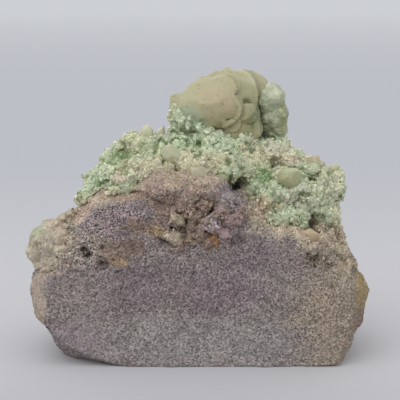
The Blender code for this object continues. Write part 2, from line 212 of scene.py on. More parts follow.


# %% [markdown]
# ## Colours
# The colours are chosen from the photo, as bytes. A photo shows colour times light, so `seen`
# turns a byte colour into linear light and divides it by the light that falls there. The crust's
# crystals shade one another, so the crust gets the least light, and the mass on top stands free and
# gets the most. One factor for each is easy to tune by comparing a render with the photo.

# %% Colour from the photo
FRONT_LIGHT = np.array((0.70, 0.71, 0.76))
CRUST_LIGHT = FRONT_LIGHT * (0.79, 0.80, 0.82)
SINGLE_LIGHT = FRONT_LIGHT
MASS_LIGHT = FRONT_LIGHT * 1.25


def seen(red, green, blue, light=FRONT_LIGHT):
    """The linear surface colour that shows as these bytes under this much light."""
    shown = np.array((red, green, blue)) / 255
    linear = np.where(shown <= 0.04045, shown / 12.92, ((shown + 0.055) / 1.055) ** 2.4)
    return linear / light


print("rock grey as a surface colour:", seen(124, 116, 115).round(2))

# %% [markdown]
# ## Fine meshes from the frame
# A solid of the frame is coarse on purpose. It could be subdivided, but its faces differ in size, and
# added lumps would only stick in it. So `fine_copy` merges its loose triangles, adds ragged blobs
# where a piece has small lumps of its own, and remeshes all of it with voxels. That fuses the blobs
# and gives even, small faces all over. Each point is later moved along its normal, and that is how
# grain, pits and facets become real geometry.

# %% Points and objects
def points_of(mesh):
    """The mesh's points, in millimetres."""
    values = np.empty(len(mesh.vertices) * 3)
    mesh.vertices.foreach_get("co", values)
    return values.reshape(-1, 3) / MM


def normals_of(mesh):
    """The direction that each point of the mesh faces."""
    values = np.empty(len(mesh.vertices) * 3)
    mesh.vertices.foreach_get("normal", values)
    return values.reshape(-1, 3)


def new_object(name, mesh):
    """An object at the origin that shows the mesh."""
    made = bpy.data.objects.new(name, mesh)
    scene.collection.objects.link(made)
    return made


def baked(obj):
    """Applies the object's modifiers to its mesh."""
    graph = bpy.context.evaluated_depsgraph_get()
    mesh = bpy.data.meshes.new_from_object(obj.evaluated_get(graph))
    obj.modifiers.clear()
    obj.data = mesh
    mesh.name = obj.name
    return obj


print("nodes that get a fine copy:", sorted(nodes))

# %% Remeshed copies
Blob = namedtuple("Blob", "px py deep wide high thick colour rough", defaults=(None, 1.0))
BULGES = ((0.45, 1.1), (0.3, 2.7))


def blob_sizes(blob):
    """The blob's half sizes along X, Y and Z, in millimetres. Its width and height are pixels."""
    return np.array((blob.wide * PIXEL, blob.thick, blob.high * PIXEL))


def fine_copy(name, node, voxel, smoothing=0, blobs=()):
    """A remeshed copy of a node with its blobs, made of voxels of the given size."""
    copy = bmesh.new()
    copy.from_mesh(nodes[node].data)
    bmesh.ops.remove_doubles(copy, verts=copy.verts, dist=0.001 * MM)
    for blob in blobs:
        place = Matrix.Translation(at_depth(blob.px, blob.py, blob.deep) * MM)
        stretch = Matrix.Diagonal((*(blob_sizes(blob) * MM), 1))
        ball = bmesh.ops.create_icosphere(copy, subdivisions=3, radius=1)
        for vertex in ball["verts"]:
            shift = Vector((blob.px, blob.py, 0))
            bulge = sum(rise * noise.noise(vertex.co * rate + shift) for rise, rate in BULGES)
            vertex.co *= 1 + bulge
            vertex.co = place @ stretch @ vertex.co
    mesh = bpy.data.meshes.new(name)
    copy.to_mesh(mesh)
    copy.free()
    made = new_object(name, mesh)
    remesh = made.modifiers.new("voxels", "REMESH")
    remesh.mode = "VOXEL"
    remesh.voxel_size = voxel * MM
    if smoothing:
        smooth = made.modifiers.new("smoothing", "SMOOTH")
        smooth.factor = 0.5
        smooth.iterations = smoothing
    return baked(made)


# %% [markdown]
# ## Values on the points
# The finishes and the scattered crystals ask what a point of the stone is: its colour, how strong
# its grain is and how deep it lies. An image could hold that, but it would need an unwrapped mesh.
# An attribute stores one value for each point instead, and a shader or a geometry tree reads it by
# name.

# %% Move points and store values
def move_to(obj, points):
    """Puts the object's points at these places, in millimetres."""
    obj.data.vertices.foreach_set("co", (points * MM).ravel())
    obj.data.update()


def store(obj, name, values):
    """Stores a number or a colour for each point of the mesh, in place of older values."""
    if name in obj.data.attributes:
        obj.data.attributes.remove(obj.data.attributes[name])
    if values.ndim == 1:
        attribute = obj.data.attributes.new(name, "FLOAT", "POINT")
        attribute.data.foreach_set("value", values.astype(np.float32))
        return
    attribute = obj.data.attributes.new(name, "FLOAT_COLOR", "POINT")
    opaque = np.ones((len(values), 1))
    attribute.data.foreach_set("color", np.hstack((values, opaque)).astype(np.float32).ravel())


def tint_of(obj):
    """The colours that the mesh's points carry."""
    data = obj.data.attributes["tint"].data
    values = np.empty(len(data) * 4, np.float32)
    data.foreach_get("color", values)
    return values.reshape(-1, 4)[:, :3]


print("a beige as three colour shares:", seen(160, 148, 131).round(2))

# %% [markdown]
# ## Noise and distances
# Broken stone has swells, and crystals heap up in rounded lumps that meet in creases. Displace
# modifiers could make both, but their heights can't be masked or reused. So `wave` and `domes` give
# the heights as numbers, each with a length in millimetres and a seed, and `fade` cuts masks from
# them.

# %% Noise, masks and distances
SEED_SHIFT = Vector((17.3, 9.1, 5.7))


def shift_of(seed):
    """An offset that gives each seed its own stretch of noise."""
    return SEED_SHIFT * seed


def wave(points, length, seed):
    """Smooth noise from about -1 to 1, with bumps of the given length."""
    shift = shift_of(seed)
    return np.array([noise.noise(Vector(point) / length + shift) for point in points])


def domes(points, size, seed):
    """Round lumps of the given size: 1 at each centre, falling to 0 where lumps meet."""
    shift = shift_of(seed)
    gaps = []
    for point in points:
        near, second = noise.voronoi(Vector(point) / size + shift)[0][:2]
        gaps.append(1 - near / second)
    return np.sqrt(np.clip(gaps, 0, 1))


def fade(values, low, high):
    """0 below low, 1 above high and a soft step between them."""
    share = np.clip((values - low) / (high - low), 0, 1)
    return share * share * (3 - 2 * share)


def distance_to(tree, points, reach=12.0):
    """How far each point lies from the tree's surface, up to a reach."""
    found = [tree.find_nearest(Vector(point), reach)[3] for point in points]
    return np.array([reach if gap is None else gap for gap in found])


print("a mask from 0 to 1:", fade(np.array((0.0, 0.25, 0.5, 1.0)), 0, 1))

# %% [markdown]
# ## Patches of colour
# The rock changes from violet to brown, beige and ochre over a few millimetres. Noise alone would
# put such stains anywhere, and painting by hand can't be repeated. So each patch is an ellipsoid
# round a place on the stone, and its edge is broken by noise so that it blends in as stains do. A
# patch also says how strongly single grains stand out there: little on smooth lobes, much on the
# coarse upper left.

# %% Paint patches
Patch = namedtuple("Patch", "px py wide high colour grain")
PATCH_DEPTH = 11.0
RAGGED_EDGE = ((0.6, 4.5, 3), (0.4, 1.6, 4), (0.3, 0.7, 2))


def reach_from(points, mark, depth=PATCH_DEPTH):
    """How far points lie from a mark's place: 1 at the rim of its ellipsoid."""
    offset = points - spot(mark.px, mark.py)
    across = offset @ RIGHT / (mark.wide * PIXEL)
    along = offset @ UP / (mark.high * PIXEL)
    deep = offset @ AHEAD / depth
    return np.sqrt(across**2 + along**2 + deep**2)


def paint(obj, points, colours, grain, patches, light=FRONT_LIGHT):
    """Stores the ground colours with all patches laid over them."""
    ragged = sum(share * wave(points, length, seed) for share, length, seed in RAGGED_EDGE)
    for patch in patches:
        share = 1 - fade(reach_from(points, patch) + ragged, 0.6, 1.4)
        colours += (seen(*patch.colour, light) - colours) * share[:, None]
        grain += (patch.grain - grain) * share
    store(obj, "tint", colours)
    store(obj, "grain", grain)


print("a patch reaches", PATCH_DEPTH, "mm into the stone")

# %% [markdown]
# ## The rock's colours
# The rock is a sugary mass of tiny grains. Its broken front is nearly flat, coarser and more
# speckled at the upper left, and smooth where beige and violet lobes bulge out above the hollow.
# Each line below is one patch: its pixel, its half width and height in pixels, its colour and its
# grain. Later patches lie over earlier ones, so the list goes from broad changes to small stains.

# %% Patches of the rock
GREY = (128, 122, 120)
PALE_GREY = (135, 132, 130)
VIOLET = (119, 110, 112)
LILAC = (134, 127, 129)
WARM = (140, 131, 117)
BEIGE = (160, 148, 131)
PALE_BEIGE = (170, 159, 142)
ROSE_BEIGE = (160, 143, 130)
BROWN = (126, 113, 102)
DARK_BROWN = (112, 98, 90)
OCHRE = (144, 127, 103)
RUST = (128, 98, 70)
OLIVE_BEIGE = (143, 129, 94)
RED_SPOT = (150, 92, 76)
# Painted shade, laid on the rock and the crust in dark pockets.
DEEP_SHADE = (56, 62, 42)
ROCK_PATCHES = [
    # the broad front
    Patch(190, 345, 120, 26, PALE_GREY, 0.9),
    Patch(150, 285, 46, 22, VIOLET, 1.0),
    Patch(228, 288, 26, 22, (123, 113, 117), 1.0),
    Patch(335, 320, 34, 46, WARM, 1.0),
    Patch(112, 222, 32, 20, (126, 116, 117), 1.5),
    Patch(92, 250, 30, 14, (136, 129, 122), 1.4),
    Patch(80, 337, 22, 17, LILAC, 0.7),
    # the left edge and shoulder
    Patch(36, 300, 11, 40, (152, 142, 128), 0.6),
    Patch(58, 240, 15, 30, BEIGE, 0.9),
    Patch(72, 210, 20, 15, PALE_BEIGE, 0.6),
    Patch(92, 197, 26, 11, PALE_BEIGE, 0.6),
    Patch(84, 208, 10, 8, ROSE_BEIGE, 0.9),
    # the brown band that runs up to the right
    Patch(118, 250, 22, 9, BROWN, 1.0),
    Patch(146, 229, 21, 9, BROWN, 1.0),
    Patch(166, 208, 20, 9, BROWN, 1.0),
    Patch(131, 244, 17, 7, DARK_BROWN, 0.9),
    Patch(152, 231, 7, 5, OCHRE, 0.8),
    Patch(118, 262, 9, 4, OCHRE, 0.8),
    # the lobes above the hollow
    Patch(130, 190, 36, 9, ROSE_BEIGE, 0.5),
    Patch(188, 178, 42, 15, BEIGE, 0.6),
    Patch(150, 190, 16, 8, ROSE_BEIGE, 0.6),
    Patch(170, 197, 18, 6, BROWN, 1.3),
    Patch(202, 196, 22, 8, ROSE_BEIGE, 0.8),
    Patch(202, 208, 24, 12, BROWN, 1.0),
    # the hollow and what lies round it
    Patch(196, 232, 26, 20, DARK_BROWN, 1.3),
    Patch(236, 210, 13, 18, VIOLET, 1.5),
    Patch(230, 193, 14, 8, LILAC, 0.8),
    # Painted shade in a dark pocket.
    Patch(238, 184, 8, 5, DEEP_SHADE, 0.6),
    Patch(213, 241, 5, 5, RUST, 0.8),
    Patch(201, 250, 12, 7, GREY, 1.2),
    # the right shoulder and edge
    Patch(258, 214, 14, 14, PALE_BEIGE, 0.9),
    Patch(290, 230, 38, 8, PALE_BEIGE, 0.9),
    Patch(320, 238, 24, 12, PALE_BEIGE, 0.8),
    Patch(337, 244, 18, 22, PALE_BEIGE, 0.8),
    Patch(345, 262, 14, 9, BEIGE, 0.9),
    Patch(306, 236, 3, 2, RED_SPOT, 0.5),
    Patch(318, 262, 14, 5, BROWN, 1.2),
    Patch(363, 292, 9, 24, OLIVE_BEIGE, 0.7),
    Patch(358, 322, 9, 12, BROWN, 0.8),
    Patch(345, 350, 22, 12, WARM, 0.9),
]
print("patches on the rock:", len(ROCK_PATCHES))

# %% [markdown]
# ## Pits, plates and crumbly zones
# The rock has small holes and a crack, thin plates that stand up, and crumbly zones along the hem of
# the crust and at both edges. They could be cut with booleans, but hundreds of small cuts are slow
# and leave poor faces. Here each one is a mark with a pixel and a size, and the fine mesh is pressed
# in or raised there. Only the crumbly zones also get ragged blobs, because their lumps overhang.

# %% Marks in the rock
Pit = namedtuple("Pit", "px py radius depth")
Lump = namedtuple("Lump", "px py wide high rise")
ROCK_PITS = [
    Pit(87, 254, 1.0, 2.6),
    Pit(83, 249, 0.7, 1.8),
    Pit(78, 245, 0.7, 2.0),
    Pit(102, 248, 0.7, 1.6),
    Pit(66, 262, 0.8, 1.2),
    Pit(104, 267, 0.8, 3.0),
    Pit(108, 263, 0.6, 2.4),
    Pit(113, 260, 0.5, 1.6),
    Pit(78, 236, 0.9, 0.8),
    Pit(112, 226, 0.8, 0.8),
    Pit(164, 209, 0.8, 0.7),
    Pit(183, 204, 0.5, 1.2),
    Pit(178, 197, 0.4, 0.9),
    Pit(202, 198, 0.6, 1.0),
    Pit(208, 210, 0.6, 1.2),
    Pit(150, 250, 0.8, 0.6),
    Pit(305, 250, 0.6, 1.4),
    Pit(309, 254, 0.7, 2.4),
    Pit(313, 259, 0.7, 2.2),
    Pit(316, 265, 0.6, 2.0),
    Pit(326, 261, 0.6, 1.6),
    Pit(238, 184, 1.7, 2.2),
    Pit(233, 187, 1.0, 1.4),
    Pit(232, 255, 0.7, 0.7),
    Pit(335, 282, 0.6, 0.6),
]
ROCK_LUMPS = [
    Lump(157, 242, 6, 5, 0.4),
    Lump(112, 256, 9, 4, 0.5),
    Lump(72, 247, 9, 6, 0.4),
    Lump(153, 182, 10, 6, 0.4),
    Lump(228, 192, 9, 6, 0.4),
    Lump(252, 208, 7, 8, 0.5),
    Lump(262, 220, 7, 5, 0.7),
    Lump(275, 232, 8, 4, 0.5),
    Lump(292, 238, 7, 4, 0.5),
    Lump(322, 244, 8, 6, 0.8),
    Lump(338, 250, 7, 7, 0.8),
    Lump(341, 234, 6, 7, 0.7),
    Lump(326, 232, 6, 4, 0.6),
]
print("pits:", len(ROCK_PITS), "plates:", len(ROCK_LUMPS))

# %% Crumbly zones
CRUMBLY_BLOBS = [
    Blob(252, 207, -18.0, 5, 5, 2.0),
    Blob(257, 215, -20.4, 6, 5, 2.0),
    Blob(252, 224, -24.3, 5, 5, 2.0),
    Blob(259, 228, -25.0, 5, 4, 1.8),
    Blob(268, 229, -23.4, 7, 4, 1.6),
    Blob(281, 231, -23.0, 7, 4, 1.6),
    Blob(293, 233, -22.4, 6, 4, 1.8),
    Blob(300, 241, -24.6, 5, 5, 2.0),
    Blob(309, 249, -25.8, 6, 4, 1.8),
    Blob(319, 243, -22.0, 6, 5, 2.2),
    Blob(320, 229, -17.0, 6, 6, 2.5),
    Blob(328, 237, -18.0, 6, 6, 2.5),
    Blob(328, 248, -23.2, 6, 5, 2.0),
    Blob(335, 230, -9.0, 6, 7, 3.0),
    Blob(340, 243, -12.0, 5, 6, 2.5),
    Blob(337, 253, -18.7, 6, 5, 2.2),
    Blob(346, 256, -16.5, 5, 5, 2.0),
    Blob(352, 264, -18.4, 5, 4, 2.0),
    Blob(70, 215, -14.0, 5, 6, 2.0),
    Blob(66, 229, -16.5, 5, 6, 2.0),
    Blob(67, 242, -21.0, 5, 6, 2.0),
    Blob(64, 255, -25.5, 5, 5, 1.8),
]
CRUMBLY_DEPTH = 24.0
CRUMBLY = [
    Lump(255, 218, 9, 16, 0.9),
    Lump(283, 231, 24, 8, 0.7),
    Lump(316, 236, 22, 12, 1.0),
    Lump(337, 240, 14, 22, 1.1),
    Lump(350, 264, 12, 10, 0.9),
    Lump(322, 256, 12, 8, 0.9),
    Lump(120, 187, 30, 9, 0.7),
    Lump(190, 172, 44, 10, 0.7),
    Lump(66, 236, 12, 26, 0.7),
    Lump(200, 200, 24, 10, 0.6),
]
print("crumbly zones:", len(CRUMBLY), "with blobs:", len(CRUMBLY_BLOBS))


# %% Press, raise and grow
def press_pits(points, height, pits):
    """Lowers the height round each pit's place."""
    for pit in pits:
        gap = np.linalg.norm(points - spot(pit.px, pit.py), axis=1)
        height -= pit.depth * np.exp(-((gap / pit.radius) ** 2))


def raise_plates(points, height, lumps):
    """Raises a small plate with a broken rim at each lump's place."""
    ragged = 0.35 * wave(points, 1.8, 12)
    for lump in lumps:
        height += lump.rise * (1 - fade(reach_from(points, lump) + ragged, 0.75, 1.05))


def grow(obj, points, height, relief=None):
    """Moves the points along their normals and stores the height, or another relief, for the finish."""
    move_to(obj, points + normals_of(obj.data) * height[:, None])
    store(obj, "relief", height if relief is None else relief)


print("a pit falls to", round(math.exp(-1), 2), "of its depth at its radius")

# %% [markdown]
# ## The rock's mesh and ground colours
# The whole rock is one remeshed copy, so its grain runs on round the back. Under the patches lie
# ground colours that follow a rule instead of the photo: violet drifts over the grey, the right side
# is warmer, and the rock turns beige near the crust. The unseen back gets rosy and pale drifts too.

# %% Rock mesh and ground colours
ROCK_VOXEL = 0.6
BACK_STARTS = (-8, 6)

crust_tree = tree_of("green_crust")
rock = fine_copy("matrix_stone", "matrix", ROCK_VOXEL, blobs=CRUMBLY_BLOBS)
rock_points = points_of(rock.data)
near_crust = 1 - fade(distance_to(crust_tree, rock_points, 8.0), 0.5, 4.5)
right_side = fade(rock_points[:, 0] + 4 * wave(rock_points, 14, 5), 20, 55)
back = fade(rock_points[:, 1], *BACK_STARTS)
rock_colours = np.tile(seen(*GREY), (len(rock_points), 1))
for share, colour in (
    (fade(wave(rock_points, 13, 1), -0.1, 0.5), VIOLET),
    (right_side * 0.8, WARM),
    (near_crust * 0.85, BEIGE),
    (fade(wave(rock_points, 9, 16), 0.0, 0.5) * back * 0.7, ROSE_BEIGE),
    (fade(wave(rock_points, 7, 17), 0.1, 0.5) * back * 0.6, PALE_GREY),
):
    rock_colours += (seen(*colour) - rock_colours) * share[:, None]
rock_grain = 1 - 0.45 * near_crust
paint(rock, rock_points, rock_colours, rock_grain, ROCK_PATCHES)
print("rock triangles:", 2 * len(rock.data.polygons))

# %% [markdown]
# ## The rock's relief
# The real surface is broken at several scales: broad swells, grains of about a millimetre, and a
# fine jitter. A bump in the material would leave the outline smooth, so the heights move the mesh
# itself. The rock also swells a little where a single crystal sits in it. The flat rest face stays
# flat, because the stone stands on it. How far a point moved is stored as `relief`, and the finish
# paints shade on what lies deep.

# %% Rock relief
GRAIN_HEIGHT = 0.17
COARSE_HEIGHT = 0.3
JITTER = 0.1
DIMPLE_DEPTH = 0.6
SEAT_HEIGHT = 1.3
REST_FADE = (0.4, 2.5)
chance = np.random.default_rng(11)

SUNKEN = [name for name in nodes if name.endswith("crystal") or name.startswith("back")]
single_tree = tree_of(*SUNKEN)
coarse = fade(rock_grain, 1.05, 1.6)
rock_height = 0.32 * wave(rock_points, 6.5, 6) + 0.2 * wave(rock_points, 3.0, 7)
rock_height += GRAIN_HEIGHT * rock_grain * wave(rock_points, 1.2, 8)
rock_height += COARSE_HEIGHT * np.maximum(coarse, near_crust) * (domes(rock_points, 1.7, 9) - 0.6)

zone_edge = 0.3 * wave(rock_points, 2.0, 13)
crumbly = np.zeros(len(rock_points))
for lump in CRUMBLY:
    share = 1 - fade(reach_from(rock_points, lump, CRUMBLY_DEPTH) + zone_edge, 0.7, 1.2)
    crumbly = np.maximum(crumbly, lump.rise * share)
crumbs = 1.5 * (domes(rock_points, 2.4, 14) - 0.5) + 0.5 * wave(rock_points, 1.4, 15)
rock_height += crumbly * crumbs

rock_height += JITTER * rock_grain * chance.normal(size=len(rock_points))
rock_height -= DIMPLE_DEPTH * fade(wave(rock_points, 2.6, 10), 0.42, 0.75)
rock_height += SEAT_HEIGHT * (1 - fade(distance_to(single_tree, rock_points, 5.0), 0.6, 3.0))
raise_plates(rock_points, rock_height, ROCK_LUMPS)
press_pits(rock_points, rock_height, ROCK_PITS)
rock_height *= fade(rock_points[:, 2], *REST_FADE)
grow(rock, rock_points, rock_height)
print("rock heights, mm:", rock_height.min().round(2), "to", rock_height.max().round(2))

# %% [markdown]
# ## The crust's colours
# The green crust is a heap of small crystals, mint on its slopes. Its finish adds a painted highlight
# in white on its crests and a painted shade in deep green in its clefts. Patches give it what the
# photo shows at each place, in the way that the rock's do.

# %% Patches of the crust
MINT = (158, 167, 148)
CREAM = (170, 168, 150)
LEAF_GREEN = (144, 157, 134)
PALE_MINT = (163, 176, 156)
WHITE = (179, 179, 168)
ROSE_CREAM = (177, 169, 157)
BRIGHT_GREEN = (92, 120, 78)
YELLOW_GREEN = (162, 165, 142)
OLIVE = (118, 122, 78)
CRUST_PATCHES = [
    Patch(100, 180, 16, 12, PALE_MINT, 1.1),
    Patch(84, 190, 9, 8, PALE_MINT, 1.0),
    Patch(122, 157, 8, 8, (134, 150, 120), 1.3),
    Patch(101, 183, 6, 5, (130, 152, 122), 1.3),
    Patch(133, 140, 14, 10, YELLOW_GREEN, 0.8),
    Patch(156, 149, 3, 3, OLIVE, 0.6),
    Patch(118, 178, 8, 6, ROSE_CREAM, 0.9),
    Patch(125, 191, 6, 6, MINT, 0.8),
    Patch(190, 140, 22, 14, PALE_MINT, 1.1),
    Patch(186, 118, 22, 14, PALE_MINT, 1.1),
    Patch(222, 142, 20, 13, PALE_MINT, 1.1),
    Patch(205, 160, 34, 8, CREAM, 1.0),
    Patch(150, 168, 26, 8, CREAM, 0.7),
    Patch(255, 152, 14, 10, CREAM, 0.8),
    Patch(279, 148, 18, 11, WHITE, 0.3),
    Patch(276, 160, 14, 6, CREAM, 0.3),
    Patch(277, 136, 10, 8, PALE_MINT, 0.9),
    Patch(297, 160, 12, 5, ROSE_CREAM, 0.4),
    Patch(313, 160, 9, 6, ROSE_CREAM, 0.5),
    Patch(263, 175, 11, 11, BRIGHT_GREEN, 0.5),
    Patch(258, 186, 18, 8, LEAF_GREEN, 0.8),
    Patch(282, 194, 18, 10, PALE_MINT, 0.8),
    # Painted shade in two dark pockets.
    Patch(240, 183, 8, 4, DEEP_SHADE, 0.6),
    Patch(268, 134, 9, 6, DEEP_SHADE, 0.6),
    Patch(305, 203, 34, 18, PALE_MINT, 1.2),
    Patch(305, 202, 22, 11, (172, 174, 162), 1.2),
    Patch(327, 186, 16, 14, (164, 168, 150), 1.2),
    Patch(335, 171, 7, 6, YELLOW_GREEN, 0.7),
    Patch(318, 214, 14, 8, MINT, 1.1),
    Patch(260, 205, 20, 8, BEIGE, 0.7),
    Patch(340, 212, 8, 8, CREAM, 1.0),
]
print("patches on the crust:", len(CRUST_PATCHES))

# %% [markdown]
# ## The crust's mesh
# The crust is pitted, and at the lower left of the pollucite mass it climbs up over it. That part
# could be painted on the mass, but it is rough where the mass is smooth, so blobs on the mass's foot
# are fused to the crust instead.

# %% Pits and climbing blobs
CRUST_PITS = [
    Pit(241, 182, 1.7, 2.2),
    Pit(235, 186, 1.2, 1.8),
    Pit(268, 133, 1.6, 1.6),
    Pit(199, 143, 0.9, 1.6),
    Pit(193, 151, 0.8, 1.2),
    Pit(187, 138, 0.7, 1.1),
    Pit(247, 143, 0.8, 1.3),
    Pit(211, 160, 0.7, 0.9),
    Pit(124, 156, 1.3, 1.4),
    Pit(101, 183, 1.2, 1.2),
    Pit(262, 199, 0.8, 0.8),
    Pit(154, 169, 0.6, 0.7),
]
CLIMBING_BLOBS = [
    Blob(172, 116, -4.6, 4, 6, 1.2),
    Blob(175, 109, -6.0, 4, 5, 1.0),
    Blob(174, 128, -5.5, 6, 6, 2.0),
    Blob(178, 121, -7.2, 6, 7, 1.7),
    Blob(183, 112, -9.2, 6, 5, 1.3),
    Blob(187, 121, -9.4, 8, 7, 1.7),
    Blob(191, 114, -10.8, 5, 5, 1.2),
    Blob(197, 125, -10.2, 7, 5, 1.7),
    Blob(207, 130, -9.2, 8, 4, 1.7),
    Blob(219, 132, -8.0, 7, 4, 1.7),
    Blob(186, 122, 6.5, 12, 8, 2.5),
    Blob(206, 122, 8.5, 12, 8, 2.5),
    Blob(226, 122, 8.0, 12, 8, 2.5),
]
print("pits:", len(CRUST_PITS), "blobs on the mass:", len(CLIMBING_BLOBS))

# %% Crust mesh and ground colours
CRUST_VOXEL = 0.44

rock_tree = tree_of("matrix")
crust = fine_copy("crust_body", "green_crust", CRUST_VOXEL, 4, CLIMBING_BLOBS)
crust_points = points_of(crust.data)
rock_gap = distance_to(rock_tree, crust_points, 8.0)
outside = fade(rock_gap, 0.45, 1.1)
hem = outside * (1 - fade(rock_gap, 1.2, 3.2))
crust_colours = np.tile(seen(*MINT, CRUST_LIGHT), (len(crust_points), 1))
for share, colour in (
    (fade(wave(crust_points, 8, 21), 0.0, 0.5), CREAM),
    (fade(wave(crust_points, 7, 22), 0.05, 0.5), LEAF_GREEN),
    (hem * 0.7, BEIGE),
):
    crust_colours += (seen(*colour, CRUST_LIGHT) - crust_colours) * share[:, None]
crust_grain = np.ones(len(crust_points))
paint(crust, crust_points, crust_colours, crust_grain, CRUST_PATCHES, CRUST_LIGHT)
print("crust triangles:", 2 * len(crust.data.polygons))

# %% [markdown]
# ## The crust's relief
# Heaped crystals make big lumps with small lumps on them, parted by winding clefts. `domes` gives
# both kinds of lump. The clefts are the creases between domes whose points are first bent by noise,
# because straight creases look like cut stone. The crust swells where it holds a single crystal, and
# keeps close to the solid where it lies on the rock.

# %% Crust relief
CLEFT_DEPTH = 0.9
CLEFT_BEND = 0.9
HOLD_HEIGHT = 2.3
HIDDEN_SHARE = 0.1
RIGHT_END = 47.2
END_SQUEEZE = 0.75

hold = 1 - fade(distance_to(single_tree, crust_points, 5.0), 0.8, 3.4)
bends = np.stack([wave(crust_points, 1.5, seed) for seed in (28, 29, 30)], axis=1)
clefts = 1 - fade(domes(crust_points + CLEFT_BEND * bends, 3.4, 27), 0.2, 0.6)
crust_relief = 0.5 * crust_grain * (domes(crust_points, 2.2, 25) - 0.5)
crust_relief += 0.45 * wave(crust_points, 1.4, 26) + JITTER * chance.normal(size=len(crust_points))
crust_relief -= CLEFT_DEPTH * crust_grain * clefts * fade(wave(crust_points, 5, 31), -0.25, 0.3)
press_pits(crust_points, crust_relief, CRUST_PITS)

crust_height = 0.9 * (domes(crust_points, 5.0, 23) - 0.55) + 0.6 * wave(crust_points, 4, 24)
crust_height = crust_height + crust_relief + HOLD_HEIGHT * hold
crust_height *= HIDDEN_SHARE + (1 - HIDDEN_SHARE) * outside
store(crust, "growth", outside * fade(crust_relief, -0.7, -0.15))
grow(crust, crust_points, crust_height, crust_relief)

crust_points = points_of(crust.data)
crust_points[:, 0] -= END_SQUEEZE * np.clip(crust_points[:, 0] - RIGHT_END, 0, None)
move_to(crust, crust_points)
print("crust heights, mm:", crust_height.min().round(2), "to", crust_height.max().round(2))

# %% [markdown]
# ## Materials from grain up
# Every surface of the stone is grainy, cloudy or both, at a known size. Image textures would blur
# close up and show seams, so `Finish` builds patterns from noise and cells. They read Object
# coordinates in millimetres, so grains have their real size on every piece. Numbers that are the
# same all over a surface go straight to the shader, and only what varies is linked.

# %% The Finish class
class Finish(Graph):
    """A material whose nodes are added by node() and the short forms below."""

    def __init__(self, name):
        self.material = bpy.data.materials.new(name)
        self.material.use_nodes = True
        super().__init__(self.material.node_tree)
        self.tree.nodes.clear()
        metres = self.node("ShaderNodeTexCoord", output="Object")
        self.place = self.scaled(metres, 1 / MM)

    def scaled(self, colour, factor):
        """A colour or vector times a number."""
        return self.node(
            "ShaderNodeVectorMath", {"operation": "SCALE"}, {0: colour, "Scale": factor}
        )

    def attribute(self, name, output="Fac"):
        return self.node("ShaderNodeAttribute", {"attribute_name": name}, output=output)

    def clouds(self, size, detail=2.0):
        """Smooth noise from 0 to 1, with bumps of the given size."""
        return self.node(
            "ShaderNodeTexNoise", {}, {"Vector": self.place, "Scale": 1 / size, "Detail": detail}
        )

    def grains(self, size, output="Distance"):
        """Cells of the given size: the distance to their centres, or a random colour for each."""
        return self.node(
            "ShaderNodeTexVoronoi", {}, {"Vector": self.place, "Scale": 1 / size}, output
        )

    def chances(self, size):
        """Three random numbers for each cell of the given size."""
        parts = self.node("ShaderNodeSeparateColor", {}, {0: self.grains(size, "Color")}, "Red")
        return parts, parts.other("Green"), parts.other("Blue")

    def blend(self, share, first, second):
        """The first colour where share is 0, and the second where it is 1."""
        return self.node(
            "ShaderNodeMix",
            {"data_type": "RGBA", "clamp_factor": True},
            {0: share, 6: first, 7: second},
            2,
        )

    def ramp(self, value, low, high):
        """0 where the value is low, 1 where it is high, with a soft step between."""
        return self.node(
            "ShaderNodeMapRange",
            {"interpolation_type": "SMOOTHSTEP"},
            {"Value": value, "From Min": low, "From Max": high},
        )

    def surface(self, colour, roughness, height, depth, **fixed):
        """Ends the material: its bumps are `depth` millimetres deep, and `fixed` sets plain values."""
        normal = self.node(
            "ShaderNodeBump", {}, {"Strength": 1.0, "Distance": depth * MM, "Height": height}
        )
        inputs = {"Base Color": colour, "Roughness": roughness, "Normal": normal}
        for name, value in fixed.items():
            inputs[name.replace("_", " ")] = value
        shader = self.node("ShaderNodeBsdfPrincipled", {}, inputs)
        self.node("ShaderNodeOutputMaterial", {}, {"Surface": shader})
        return self.material


# %% [markdown]
# ## Rock finish
# Seen close, the rock is salt and pepper: each grain has its own brightness, a few are dark mica and
# a few are bright flecks that shine more and carry a painted glint. Plain noise would give soft
# blots, so each grain is a Voronoi cell with random numbers of its own. Hollows get painted shade,
# darker the deeper they lie, and two sizes of clouds keep the front from looking even.

# %% Rock finish
GRAIN_SIZE = 0.43
FINE_GRAIN_SIZE = 0.26
DARK_SPECK = 0.45
# A painted glint on the bright flecks, and painted shade in the deepest hollows:
PALE_FLECK_AND_GLINT = 1.6
PAINTED_HOLLOW_SHADE = 0.16
VIOLET_SHIFT = (1.02, 0.94, 1.05, 1)


